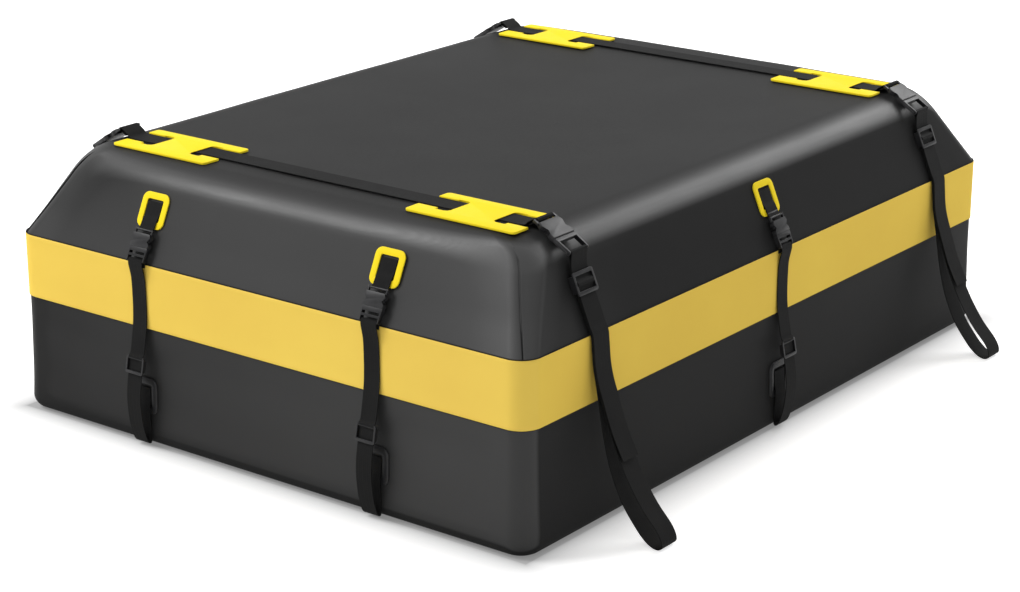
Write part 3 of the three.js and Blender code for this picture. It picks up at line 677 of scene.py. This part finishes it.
def corner_strap_line(sizes, web):
    """Down to a loop on the floor, up through the slide, over the buckle's bar and down again."""
    slope = sizes.end_slope
    bar_up = corner_bar_up(slope)
    ply = web.thickness + PLY_GAP
    stack = (3 * web.thickness + 2 * PLY_GAP) / 2
    centre = stack + PLY_GAP + 2 * MM
    inner, outer = centre - ply, centre + ply
    loop = WIDE_BAR + LOOP_CLEARANCE + web.thickness / 2

    def up(off, *shares):
        return [on_slope(slope, share * bar_up, off) for share in shares]

    def to_bar(off, side, share, across):
        return on_slope(slope, share * bar_up, off + (BAR_OFF_PANEL + side * loop - off) * across)

    line = up(inner, 0.83, 0.69, 0.545, 0.395, 0.25, 0.1)
    line += hanging((0.008, 1.002), (0.0143, 0.9543), (0.0239, 0.8509), (0.0382, 0.7753),
                    (0.0577, 0.668), (0.0835, 0.5249), (0.1272, 0.3579), (0.1988, 0.1988),
                    (0.2823, 0.0875), (0.334, 0.0358), (0.3738, 0.0119), (0.4095, 0.0064),
                    (0.4334, 0.0219), (0.4294, 0.0557), (0.3996, 0.1034), (0.3221, 0.1869),
                    (0.2465, 0.2942), (0.1829, 0.4095), (0.1252, 0.5408), (0.07, 0.6998),
                    (0.0453, 0.7753), (0.0298, 0.8509), (0.0203, 0.9543), (0.0139, 1.0036))
    line += up(centre, 0.1, 0.25, 0.395, 0.545, 0.69, 0.79)
    line += [to_bar(centre, -1, 0.864, 0.32), to_bar(centre, -1, 0.933, 0.78)]
    line += round_bar(last_corner_bar(slope), loop, 192, 10, 8)
    line += [to_bar(outer, 1, 0.928, 0.565), to_bar(outer, 1, 0.859, 0.238)]
    line += up(outer, 0.79, 0.73, 0.669) + up(outer + BULGE, 0.636, 0.618, 0.6)
    line += up(outer, 0.567, 0.5, 0.395, 0.25, 0.1)
    line += hanging((0.0199, 1.0052), (0.0262, 0.9543), (0.0362, 0.8509), (0.0529, 0.7753),
                    (0.0787, 0.6998), (0.1352, 0.5447), (0.2048, 0.4076))
    return line


def last_side_bar():
    """Middle of the bar that a side strap goes round."""
    return Vector((3.7 * MM, FLAP_TOP + 5.2 * MM))


def first_side_bar(slope):
    """Middle of the bar that holds a side buckle's socket to its tab."""
    return last_side_bar() + NARROW_SPAN * Vector((-math.cos(slope), math.sin(slope)))


def side_strap_line(sizes, web):
    """Round the buckle's bar, down through the slide to the floor and up behind the patch."""
    bar = last_side_bar()
    loop = NARROW_BAR + LOOP_CLEARANCE + web.thickness / 2
    over = RING_THICKNESS + SEAT

    def from_bar(across, down):
        return Vector((bar.x + across, bar.y - down * NARROW_BAR))

    def on_wall(height, off):
        return Vector((tub_out(sizes, height) + SEAT + web.thickness / 2 + off, height))

    high, low = hanging((0.0239, 0.5964), (0.0644, 0.3976))
    middle, along = (high + low) / 2, (low - high).normalized()
    over_bar = Vector((-along.y, along.x)) * NARROW_BULGE

    line = [from_bar(-loop, 6), from_bar(-loop, 2.7)]
    line += round_bar(bar, loop, 170, 10, 7)
    line.append(from_bar(loop, 4))
    line += hanging((0.0151, 0.9543), (0.0088, 0.9185), (0.006, 0.8549), (0.006, 0.7555),
                    (0.0111, 0.6759))
    line += [high, middle - along * 5.5 * MM]
    line += [middle + along * offset * MM + over_bar for offset in (-1.8, 0, 1.8)]
    line += [middle + along * 5.5 * MM, low]
    line += hanging((0.0763, 0.326), (0.0803, 0.2624), (0.0763, 0.1909), (0.0656, 0.1193),
                    (0.0485, 0.0596), (0.0334, 0.0298), (0.0187, 0.0215), (0.0119, 0.0318),
                    (0.0131, 0.0596))
    line += [
        on_wall(PATCH_BOTTOM - 2.4 * RING_BAR, 0.3 * MM),
        on_wall(PATCH_BOTTOM - 1.3 * RING_BAR, 0.6 * MM),
        on_wall(PATCH_BOTTOM - RING_BAR / 3, over),
        on_wall(PATCH_BOTTOM + 1.2 * RING_BAR, over),
        on_wall(PATCH_BOTTOM + 1.9 * RING_BAR, 0.5 * MM),
        on_wall(PATCH_BOTTOM + 2.55 * RING_BAR, 0),
        on_wall(PATCH_BOTTOM + PATCH_SIZE[1] - 1.45 * RING_BAR, 0),
    ]
    return line


def side_tab_line(slope, web):
    """From inside the ring, out over its lower bar and on to the socket's bar."""
    lying = SEAT + web.thickness / 2
    over = RING_THICKNESS + 2 * SEAT + web.thickness / 2
    bottom, top = RING_UP_SLOPE, RING_UP_SLOPE + RING_SIZE[1]
    return [
        on_slope(slope, top - RING_BAR - 3 * MM, lying),
        on_slope(slope, bottom + RING_BAR + 9 * MM, lying),
        on_slope(slope, bottom + RING_BAR + 3 * MM, over),
        on_slope(slope, bottom + RING_BAR - 3 * MM, over + 0.6 * MM),
        on_slope(slope, bottom - 1 * MM, over + 1.6 * MM),
        first_side_bar(slope),
    ]


# Flat rings

def rounded_rectangle(width, height, radius, steps=8):
    """Outline of a rounded rectangle."""
    points = []
    for side, (sign_x, sign_y) in enumerate(((1, 1), (-1, 1), (-1, -1), (1, -1))):
        for step in range(steps + 1):
            angle = (side + step / steps) * math.pi / 2
            points.append(Vector((
                sign_x * (width / 2 - radius) + radius * math.cos(angle),
                sign_y * (height / 2 - radius) + radius * math.sin(angle),
            )))
    return points


def flat_ring(name, size, thickness, slot, matrix):
    """A flat moulded ring with soft edges, in the Y and Z of matrix, with its back at X = 0."""
    soft = thickness * 0.25
    width, height = size

    def loop(inside, grow, x):
        if inside:
            reach = 2 * RING_BAR + 2 * grow
            flat = rounded_rectangle(width - reach, height - reach, RING_CORNER / 4)
        else:
            flat = rounded_rectangle(width + 2 * grow, height + 2 * grow, RING_CORNER + grow)
        return [Vector((x, point.x, point.y)) for point in flat]

    edge = [(0, 0), (0, thickness - soft)]
    edge += [(-soft * 0.3, thickness - soft * 0.3), (-soft, thickness)]
    rings = [loop(False, *place) for place in edge] + [loop(True, *place) for place in edge[::-1]]
    mesh = loft(name, rings, True)
    mesh.transform(matrix)
    ring = add_object(name, mesh, slot)
    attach(ring, "root")
    return ring


def plate_dark_sheet(corner):
    """A dark sheet under a guide plate, darker than the fabric, which shows in the plate's slots
    beside the strap.
    """
    low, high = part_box(f"guide_plate_{corner}")
    low, high = Vector(low) + DARK_SHEET_INSET, Vector(high) - DARK_SHEET_INSET
    bottom, top = (LID_TOP + height for height in DARK_SHEET_HEIGHTS)
    form = bmesh.new()
    bmesh.ops.create_cube(form, size=1, matrix=Matrix.Translation((
        (low.x + high.x) / 2, (low.y + high.y) / 2, (bottom + top) / 2,
    )) @ Matrix.Diagonal((high.x - low.x, high.y - low.y, top - bottom, 1)))
    mesh = made_mesh(f"plate_lining_{corner}", form)
    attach(add_object(mesh.name, mesh, "zip_tape"), "root")


# Shader node groups and materials

def feed(tree, node, inputs):
    """Sets or links a node's inputs by name or number."""
    for key, value in inputs.items():
        if isinstance(value, bpy.types.NodeSocket):
            tree.links.new(value, node.inputs[key])
        else:
            node.inputs[key].default_value = value


def put(tree, kind, inputs=None, **settings):
    """Adds a node with its settings and its inputs."""
    node = tree.nodes.new(kind)
    for key, value in settings.items():
        setattr(node, key, value)
    feed(tree, node, inputs or {})
    return node


def maths(tree, operation, *values):
    """Output of a Math node."""
    return put(tree, "ShaderNodeMath", dict(enumerate(values)), operation=operation).outputs[0]


def vector_maths(tree, operation, inputs):
    """Output of a Vector Math node."""
    return put(tree, "ShaderNodeVectorMath", inputs, operation=operation).outputs[0]


def mapped(tree, value, start, end, low=0.0, high=1.0):
    """Output of a Map Range node, from start and end to low and high."""
    return put(tree, "ShaderNodeMapRange", {0: value, 1: start, 2: end, 3: low, 4: high}).outputs[0]


def split(tree, vector):
    """The three parts of a vector."""
    return put(tree, "ShaderNodeSeparateXYZ", {0: vector}).outputs


def new_group(name, output, **inputs):
    """An empty shader group, whose inputs are vectors where they have no default number."""
    group = bpy.data.node_groups.new(name, "ShaderNodeTree")
    for socket, default in inputs.items():
        kind = "NodeSocketVector" if default is None else "NodeSocketFloat"
        made = group.interface.new_socket(socket, in_out="INPUT", socket_type=kind)
        if default is not None:
            made.default_value = default
    group.interface.new_socket(output, in_out="OUTPUT", socket_type="NodeSocketFloat")
    return group, group.nodes.new("NodeGroupInput").outputs


def closed_group(group, value):
    """The group with its output fed."""
    group.links.new(value, group.nodes.new("NodeGroupOutput").inputs[0])
    return group


def cloth_weave_group():
    """Plain weave on any face of the bag: Height is from -1 to 1."""
    group, start = new_group("Cloth weave", "Height", Place=None, Facing=None, Pitch=1.2 * MM)
    turns = maths(group, "DIVIDE", 2 * math.pi, start["Pitch"])
    waves = vector_maths(group, "SCALE", {0: start["Place"], 3: turns})
    wave = split(group, vector_maths(group, "SINE", {0: waves}))
    share = split(group, vector_maths(group, "MULTIPLY", {0: start["Facing"], 1: start["Facing"]}))
    level, front, side = (
        maths(group, "MULTIPLY", maths(group, "MULTIPLY", wave[a], wave[b]), share[c])
        for a, b, c in ((0, 1, 2), (0, 2, 1), (1, 2, 0))
    )
    return closed_group(group, maths(group, "ADD", maths(group, "ADD", level, front), side))


def handling_group():
    """Slow unevenness from handling: Value is from Low to High."""
    group, start = new_group("Handling marks", "Value", Place=None, Scale=6.0, Low=0.0, High=1.0)
    cloud = put(group, "ShaderNodeTexNoise", {
        "Vector": start["Place"], "Scale": start["Scale"], "Detail": 5.0, "Roughness": 0.55,
    })
    value = mapped(group, cloud.outputs["Fac"], 0.3, 0.7, start["Low"], start["High"])
    return closed_group(group, value)


def edge_wear_and_highlight_group():
    """Edges made pale, for wear and as a painted highlight along them: Mask is 1 on the sharpest
    edges.
    """
    group, start = new_group("Edge rub", "Mask", Place=None, Start=0.52, End=0.62)
    point = group.nodes.new("ShaderNodeNewGeometry")
    patchy = put(group, "ShaderNodeTexNoise", {
        "Vector": start["Place"], "Scale": 90.0, "Detail": 3.0,
    })
    shifted = maths(group, "MULTIPLY_ADD", patchy.outputs["Fac"], 0.06, point.outputs["Pointiness"])
    sharp = maths(group, "SUBTRACT", shifted, 0.03)
    return closed_group(group, mapped(group, sharp, start["Start"], start["End"]))


def webbing_weave_group():
    """Herringbone weave along a strap: Height is from 0 to 1."""
    group, start = new_group("Webbing weave", "Height", Place=None, Rib=3.2 * MM, Pick=1.1 * MM)
    place = split(group, start["Place"])
    zigzag = maths(group, "PINGPONG", maths(group, "DIVIDE", place[1], start["Rib"]), 1.0)
    thread = maths(group, "DIVIDE", place[0], start["Pick"])
    slant = maths(group, "ADD", thread, maths(group, "MULTIPLY", zigzag, 1.6))
    wave = maths(group, "SINE", maths(group, "MULTIPLY", slant, 2 * math.pi))
    ridge = maths(group, "SINE", maths(group, "MULTIPLY", zigzag, math.pi))
    height = maths(group, "MULTIPLY", maths(group, "MULTIPLY_ADD", wave, 0.5, 0.5),
                   maths(group, "MULTIPLY_ADD", ridge, 0.5, 0.5))
    return closed_group(group, height)


def beside_group():
    """Distance from the bag's footprint: Share is 0 at its edge and 1 from Reach on."""
    group, start = new_group("Beside the bag", "Share", Place=None, Across=0.4, Along=0.5,
                             Reach=90 * MM)
    place = split(group, start["Place"])
    squares = []
    for axis, half in enumerate(("Across", "Along")):
        out = maths(group, "SUBTRACT", maths(group, "ABSOLUTE", place[axis]), start[half])
        past = maths(group, "MAXIMUM", out, 0.0)
        squares.append(maths(group, "MULTIPLY", past, past))
    distance = maths(group, "SQRT", maths(group, "ADD", *squares))
    share = maths(group, "MINIMUM", maths(group, "DIVIDE", distance, start["Reach"]), 1.0)
    return closed_group(group, maths(group, "SQRT", share))


EFFECTS = {
    "Beside the bag": beside_group,
    "Cloth weave": cloth_weave_group,
    "Handling marks": handling_group,
    "Edge rub": edge_wear_and_highlight_group,
    "Webbing weave": webbing_weave_group,
}


def effect(tree, name, **inputs):
    """Places one of the shared node groups in a material and returns its output."""
    group = bpy.data.node_groups.get(name) or EFFECTS[name]()
    return put(tree, "ShaderNodeGroup", inputs, node_tree=group).outputs[0]


def new_material(name):
    """A material with its Principled shader and the coordinates of the surface."""
    material = bpy.data.materials.new(name)
    material.use_nodes = True
    tree = material.node_tree
    shader = tree.nodes["Principled BSDF"]
    place = tree.nodes.new("ShaderNodeTexCoord")
    return material, tree, shader, place.outputs


def tinted(tree, rgb, mask, lighter, amount):
    """A colour mixed by a mask with a lighter or darker one."""
    other = [min(channel * lighter + amount, 1) for channel in rgb]
    mix = put(tree, "ShaderNodeMix", {0: mask, 6: (*rgb, 1), 7: (*other, 1)}, data_type="RGBA")
    return mix.outputs[2]


def bumped(tree, shader, height, distance):
    """Feeds a height to the shader's normal."""
    bump = put(tree, "ShaderNodeBump", {"Height": height, "Distance": distance})
    tree.links.new(bump.outputs[0], shader.inputs["Normal"])


def coated_fabric(name, rgb, roughness, specular):
    """Woven polyester under a satin coating, which shines face on and over the shoulders."""
    material, tree, shader, place = new_material(name)
    marks = effect(tree, "Handling marks", Place=place["Object"], Scale=5.0)
    fine = effect(tree, "Handling marks", Place=place["Object"], Scale=420.0)
    weave = effect(tree, "Cloth weave", Place=place["Object"], Facing=place["Normal"],
                   Pitch=FABRIC_PITCH)
    rough = maths(tree, "MULTIPLY_ADD", marks, 0.05, roughness)
    turned = tree.nodes.new("ShaderNodeLayerWeight").outputs["Facing"]
    lustre = mapped(tree, turned, *SHEEN_TURN, specular, SHEEN_LEFT * specular)
    upright = maths(tree, "SUBTRACT", split(tree, place["Normal"])[2], SHOULDER_UPRIGHT)
    tight = mapped(tree, maths(tree, "ABSOLUTE", upright), *SHOULDER_REACH, specular, 0.0)
    feed(tree, shader, {
        "Base Color": tinted(tree, rgb, maths(tree, "MULTIPLY", marks, 0.5), 1.18, 0.002),
        "Roughness": maths(tree, "MULTIPLY_ADD", fine, 0.05, rough),
        "Specular IOR Level": maths(tree, "ADD", lustre, tight),
    })
    bumped(tree, shader, maths(tree, "ADD", weave, maths(tree, "MULTIPLY", fine, 0.5)), 0.03 * MM)
    return material


def moulded_plastic(name, rgb, roughness, specular, wear_and_highlight):
    """Fine grained moulded plastic, its edges made pale for wear and as a painted highlight."""
    material, tree, shader, place = new_material(name)
    marks = effect(tree, "Handling marks", Place=place["Object"], Scale=30.0)
    grain = effect(tree, "Handling marks", Place=place["Object"], Scale=1600.0)
    # Pale edges: wear, and a painted highlight along them
    edge = effect(tree, "Edge rub", Place=place["Object"])
    feed(tree, shader, {
        "Base Color": tinted(tree, rgb, maths(tree, "MULTIPLY", edge, wear_and_highlight), 1.5, 0.05),
        "Roughness": maths(tree, "MULTIPLY_ADD", marks, 0.08, roughness),
        "Specular IOR Level": specular,
    })
    bumped(tree, shader, grain, 0.02 * MM)
    return material


def woven_webbing(name, rgb):
    """Black nylon webbing."""
    material, tree, shader, place = new_material(name)
    web = bpy.context.scene.roof_bag_webbing
    stored = put(tree, "ShaderNodeAttribute", attribute_name="web_place").outputs["Vector"]
    weave = effect(tree, "Webbing weave", Place=stored, Rib=web.rib, Pick=web.pick)
    marks = effect(tree, "Handling marks", Place=place["Object"], Scale=25.0)
    # Handling marks, and shade painted between the threads: the raised weave is coloured lighter
    marks_and_weave_shade = maths(tree, "MULTIPLY_ADD", marks, 0.25, maths(tree, "MULTIPLY", weave, 0.6))
    feed(tree, shader, {
        "Base Color": tinted(tree, rgb, marks_and_weave_shade, 1.7, 0.006),
        "Roughness": maths(tree, "MULTIPLY_ADD", weave, -0.12, 0.72),
        "Specular IOR Level": WOVEN_SPECULAR,
    })
    bumped(tree, shader, weave, 0.12 * MM)
    return material


def zip_tape(name, rgb):
    """Woven tape with the moulded coil along its edge."""
    material, tree, shader, place = new_material(name)
    weave = effect(tree, "Cloth weave", Place=place["Object"], Facing=place["Normal"],
                   Pitch=TAPE_PITCH)
    marks = effect(tree, "Handling marks", Place=place["Object"], Scale=20.0)
    feed(tree, shader, {
        "Base Color": tinted(tree, rgb, marks, 1.5, 0.004),
        "Roughness": maths(tree, "MULTIPLY_ADD", weave, 0.08, 0.7),
        "Specular IOR Level": WOVEN_SPECULAR,
    })
    bumped(tree, shader, weave, 0.1 * MM)
    return material


# For each slot: a material's name, function and colour, and its roughness, specular level and pale
# edges, for wear and painted highlight
FINISHES = {
    "coated_fabric": ("Coated fabric", coated_fabric, "fabric", (0.42, 0.28)),
    "flap_fabric": ("Flap fabric", coated_fabric, "flap", (0.55, 0.15)),
    "yellow_patch": ("Yellow plastic", moulded_plastic, "yellow", (0.5, 0.12, 0.25)),
    "black_plastic": ("Black plastic", moulded_plastic, "plastic", (0.36, 0.22, 0.8)),
    "zip_tape": ("Zip tape", zip_tape, "webbing", ()),
    "webbing": ("Webbing", woven_webbing, "webbing", ()),
}


def finish(slot):
    """The material of one of the record's slots, made the first time that it is asked for."""
    name, make, shade, looks = FINISHES[slot]
    if name in bpy.data.materials:
        return bpy.data.materials[name]
    return make(name, getattr(bpy.context.scene.roof_bag_colours, shade), *looks)


# Hardware kept from the frame

def soft_shading_modifier():
    """Geometry nodes that shade smoothly across all but the sharp edges."""
    name = "Soft shading"
    if name in bpy.data.node_groups:
        return bpy.data.node_groups[name]
    group = bpy.data.node_groups.new(name, "GeometryNodeTree")
    group.interface.new_socket("Geometry", in_out="INPUT", socket_type="NodeSocketGeometry")
    group.interface.new_socket("Geometry", in_out="OUTPUT", socket_type="NodeSocketGeometry")
    start = group.nodes.new("NodeGroupInput")
    end = group.nodes.new("NodeGroupOutput")
    angle = group.nodes.new("GeometryNodeInputMeshEdgeAngle")
    sharp = put(group, "FunctionNodeCompare", {0: angle.outputs["Unsigned Angle"], 1: SMOOTH_ANGLE},
                operation="GREATER_THAN")
    faces = put(group, "GeometryNodeSetShadeSmooth", {0: start.outputs[0]}, domain="FACE")
    edges = put(group, "GeometryNodeSetShadeSmooth", {
        0: faces.outputs[0], "Selection": sharp.outputs[0], "Shade Smooth": False,
    }, domain="EDGE")
    group.links.new(edges.outputs[0], end.inputs[0])
    return group


def dress(node, slot, edge):
    """Gives a piece of the frame its material, and softens its edges."""
    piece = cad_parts[node]
    piece.data.materials.clear()
    piece.data.materials.append(finish(slot))
    if edge > 0:
        weld = piece.modifiers.new("Weld", "WELD")
        weld.merge_threshold = 0.01 * MM
        bevel = piece.modifiers.new("Soft edges", "BEVEL")
        bevel.width = edge
        bevel.segments = 2
        bevel.limit_method = "ANGLE"
        bevel.angle_limit = BEVEL_ANGLE
        bevel.use_clamp_overlap = True
    shading = piece.modifiers.new("Soft shading", "NODES")
    shading.node_group = soft_shading_modifier()


# The studio

def seen_rays(tree):
    """1 for the rays of the camera, of reflections and through clear pieces."""
    path = tree.nodes.new("ShaderNodeLightPath").outputs
    seen = maths(tree, "MAXIMUM", path["Is Camera Ray"], path["Is Glossy Ray"])
    return maths(tree, "MAXIMUM", seen, path["Is Transmission Ray"])


def add_floor(scene, studio):
    """A wide pale floor, lifted to white for the camera, with a shadow painted dark on it close to
    the bag.
    """
    mesh = bpy.data.meshes.new("floor")
    reach = FLOOR_REACH
    corners = [(-reach, -reach, 0), (reach, -reach, 0), (reach, reach, 0), (-reach, reach, 0)]
    mesh.from_pydata(corners, [], [(0, 1, 2, 3)])
    material, tree, shader, place = new_material("Studio floor")
    grain = effect(tree, "Handling marks", Place=place["Object"], Scale=3.0)
    beside = effect(tree, "Beside the bag", Place=place["Object"], Across=HALF_WIDTH,
                    Along=HALF_LENGTH)
    pale = tinted(tree, scene.roof_bag_colours.floor, grain, 1.01, 0)
    # Painted shadow: the floor's colour darkens towards the bag, and its lift for the camera is
    # smaller there
    painted_shadow_floor = put(tree, "ShaderNodeMix", {0: beside, 6: PAINTED_SHADOW_COLOUR, 7: pale}, data_type="RGBA")
    lift = studio.floor_lift
    lifted = maths(tree, "MULTIPLY_ADD", beside, (1 - LIFT_IN_PAINTED_SHADOW) * lift, LIFT_IN_PAINTED_SHADOW * lift)
    feed(tree, shader, {
        "Base Color": painted_shadow_floor.outputs[2], "Roughness": 0.9, "Specular IOR Level": 0.1,
        "Emission Color": (1, 1, 1, 1),
        "Emission Strength": maths(tree, "MULTIPLY", seen_rays(tree), lifted),
    })
    mesh.materials.append(material)
    floor = bpy.data.objects.new("floor", mesh)
    scene.collection.objects.link(floor)


def add_sky(scene, studio):
    """Even light from all round, white to the camera and in reflections."""
    world = bpy.data.worlds.new("Studio sky")
    world.use_nodes = True
    scene.world = world
    tree = world.node_tree
    feed(tree, tree.nodes["Background"], {
        "Color": (1, 1, 1, 1), "Strength": mapped(tree, seen_rays(tree), 0.0, 1.0, studio.sky, 1.0),
    })


def add_softbox(scene, name, direction, distance, size, power):
    """A square light that faces the bag from a direction."""
    light = bpy.data.lights.new(name, "AREA")
    light.energy = power
    light.size = size
    lamp = bpy.data.objects.new(name, light)
    lamp.matrix_world = (
        Matrix.Translation(direction.normalized() * distance)
        @ direction.to_track_quat("Z", "Y").to_matrix().to_4x4()
    )
    scene.collection.objects.link(lamp)


def add_camera(scene):
    """The camera that the photograph was taken with."""
    lens = bpy.data.cameras.new("Photograph camera")
    lens.lens = CAMERA_LENS
    lens.sensor_width = CAMERA_SENSOR
    lens.sensor_fit = "HORIZONTAL"
    camera = bpy.data.objects.new("Photograph camera", lens)
    back = CAMERA_RIGHT.cross(CAMERA_UP)
    turned = Matrix((CAMERA_RIGHT, CAMERA_UP, back)).transposed().to_4x4()
    camera.matrix_world = Matrix.Translation(CAMERA_PLACE) @ turned
    scene.collection.objects.link(camera)
    scene.camera = camera


# Operators

class BuildOperator:
    """Runs an operator's build with the sizes of the shells and the webbing"""

    def execute(self, context):
        self.build(context.scene.roof_bag_shells, context.scene.roof_bag_webbing)
        return {"FINISHED"}


class ROOFBAG_OT_stage(bpy.types.Operator):
    """Adds the floor, the softboxes, the sky and the photograph's camera"""

    bl_idname = "roof_bag.stage"
    bl_label = "Stage"

    def execute(self, context):
        scene = context.scene
        studio = scene.roof_bag_studio
        add_floor(scene, studio)
        add_sky(scene, studio)
        add_softbox(scene, "Key softbox", *KEY_SOFTBOX, studio.key)
        add_softbox(scene, "Back softbox", *BACK_SOFTBOX, studio.back)
        add_camera(scene)
        scene.view_settings.view_transform = "Standard"
        return {"FINISHED"}


class ROOFBAG_OT_shells(BuildOperator, bpy.types.Operator):
    """Builds the soft lid and tub"""

    bl_idname = "roof_bag.shells"
    bl_label = "Lid and tub"

    def build(self, sizes, web):
        build_lid(sizes)
        build_tub(sizes)


class ROOFBAG_OT_flap(BuildOperator, bpy.types.Operator):
    """Builds the flap over the zip and finishes the zip"""

    bl_idname = "roof_bag.flap"
    bl_label = "Flap and zip"

    def build(self, sizes, web):
        build_flap(sizes)
        # Dark strips that paint the shadow lines at the flap's edges
        build_shadow_strips(sizes)
        for name in ("zip_tape_lower", "zip_tape_upper"):
            dress(name, "zip_tape", 0)
        for name in ("zip_slider_left", "zip_slider_right"):
            dress(name, "black_plastic", SLIDER_EDGE)


class ROOFBAG_OT_top_straps(BuildOperator, bpy.types.Operator):
    """Builds the two straps over the top and finishes their guide plates"""

    bl_idname = "roof_bag.top_straps"
    bl_label = "Top straps and guide plates"

    def build(self, sizes, web):
        for row, y in (("front", -STRAP_ROW), ("back", STRAP_ROW)):
            strap = webbing(f"top_webbing_{row}", top_strap_line(sizes, web), web.wide,
                            web.thickness, Matrix.Translation((0, y, 0)))
            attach(strap, "root")
            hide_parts(f"top_strap_{row}")
        for corner in CORNERS:
            dress(f"guide_plate_{corner}", "yellow_patch", PLATE_EDGE)
            plate_dark_sheet(corner)


class ROOFBAG_OT_rings(BuildOperator, bpy.types.Operator):
    """Builds the rings on the lid and the patches on the tub"""

    bl_idname = "roof_bag.rings"
    bl_label = "Rings and patches"

    def build(self, sizes, web):
        for end in SIDES:
            frame = strap_frame("side", end)
            slope = panel_slope(sizes, end)
            centre = on_slope(slope, RING_UP_SLOPE + RING_SIZE[1] / 2, RING_SUNK)
            tilt = Matrix.Translation((centre.x, 0, centre.y)) @ Matrix.Rotation(
                slope - math.pi / 2, 4, "Y")
            ring = flat_ring(f"ring_{end}", RING_SIZE, RING_THICKNESS, "yellow_patch", frame @ tilt)
            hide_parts(f"side_ring_{end}")
            middle = PATCH_BOTTOM + PATCH_SIZE[1] / 2
            lean = math.atan2(TUB_FLARE, FLAP_BOTTOM - sizes.bottom_radius)
            low = Matrix.Translation((tub_out(sizes, middle) - RING_SUNK, 0, middle))
            low = low @ Matrix.Rotation(-lean, 4, "Y")
            flat_ring(f"patch_{end}", PATCH_SIZE, RING_THICKNESS + RING_SUNK, "black_plastic",
                      frame @ low)


class ROOFBAG_OT_corner_straps(BuildOperator, bpy.types.Operator):
    """Builds the four looped corner straps"""

    bl_idname = "roof_bag.corner_straps"
    bl_label = "Corner straps"

    def build(self, sizes, web):
        for corner in CORNERS:
            frame = strap_frame("corner", corner)
            strap = webbing(f"corner_webbing_{corner}", corner_strap_line(sizes, web), web.wide,
                            web.thickness, frame)
            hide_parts(f"corner_strap_{corner}")
            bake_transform(strap)


class ROOFBAG_OT_side_straps(BuildOperator, bpy.types.Operator):
    """Builds the six side straps and the tabs that hold their sockets"""

    bl_idname = "roof_bag.side_straps"
    bl_label = "Side straps"

    def build(self, sizes, web):
        for end in SIDES:
            frame = strap_frame("side", end)
            strap = webbing(f"side_webbing_{end}", side_strap_line(sizes, web), web.narrow,
                            web.thickness, frame)
            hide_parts(f"side_strap_{end}")
            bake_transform(strap)
            tab = webbing(f"side_tab_{end}", side_tab_line(panel_slope(sizes, end), web),
                          web.narrow + TAB_EXTRA, web.thickness + TAB_EXTRA, frame)
            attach(tab, "root")


class ROOFBAG_OT_buckles(BuildOperator, bpy.types.Operator):
    """Finishes the buckles and slides"""

    bl_idname = "roof_bag.buckles"
    bl_label = "Buckles and slides"

    def build(self, sizes, web):
        for kind, places in (("corner", CORNERS), ("side", SIDES)):
            for place in places:
                for part in ("socket", "tongue", "slide"):
                    dress(f"{kind}_{part}_{place}", "black_plastic", BUCKLE_EDGE)


class ROOFBAG_PT_panel(bpy.types.Panel):
    """Lists the bag's pieces and their settings"""

    bl_idname = "ROOFBAG_PT_panel"
    bl_label = "Roof Cargo Bag"
    bl_space_type = "VIEW_3D"
    bl_region_type = "UI"
    bl_category = "Roof Bag"

    def draw(self, context):
        for operator in OPERATORS:
            self.layout.operator(operator.bl_idname)
        for name, group in SETTINGS:
            box = self.layout.box()
            for key in group.__annotations__:
                box.prop(getattr(context.scene, name), key)


OPERATORS = (
    ROOFBAG_OT_stage, ROOFBAG_OT_shells, ROOFBAG_OT_flap, ROOFBAG_OT_top_straps, ROOFBAG_OT_rings,
    ROOFBAG_OT_corner_straps, ROOFBAG_OT_side_straps, ROOFBAG_OT_buckles,
)
SETTINGS = (
    ("roof_bag_shells", RoofBagShells), ("roof_bag_webbing", RoofBagWebbing),
    ("roof_bag_colours", RoofBagColours), ("roof_bag_studio", RoofBagStudio),
)


def register():
    """Registers the settings, the operators and the panel."""
    for name, group in SETTINGS:
        bpy.utils.register_class(group)
        setattr(bpy.types.Scene, name, PointerProperty(type=group))
    for kind in (*OPERATORS, ROOFBAG_PT_panel):
        bpy.utils.register_class(kind)


def unregister():
    """Takes them out again."""
    for kind in (ROOFBAG_PT_panel, *OPERATORS[::-1]):
        bpy.utils.unregister_class(kind)
    for name, group in SETTINGS[::-1]:
        delattr(bpy.types.Scene, name)
        bpy.utils.unregister_class(group)


def main():
    """Builds the bag in order."""
    register()
    bpy.ops.roof_bag.stage()
    bpy.ops.roof_bag.shells()
    bpy.ops.roof_bag.flap()
    bpy.ops.roof_bag.top_straps()
    bpy.ops.roof_bag.rings()
    bpy.ops.roof_bag.corner_straps()
    bpy.ops.roof_bag.side_straps()
    bpy.ops.roof_bag.buckles()


if __name__ == "__main__":
    main()
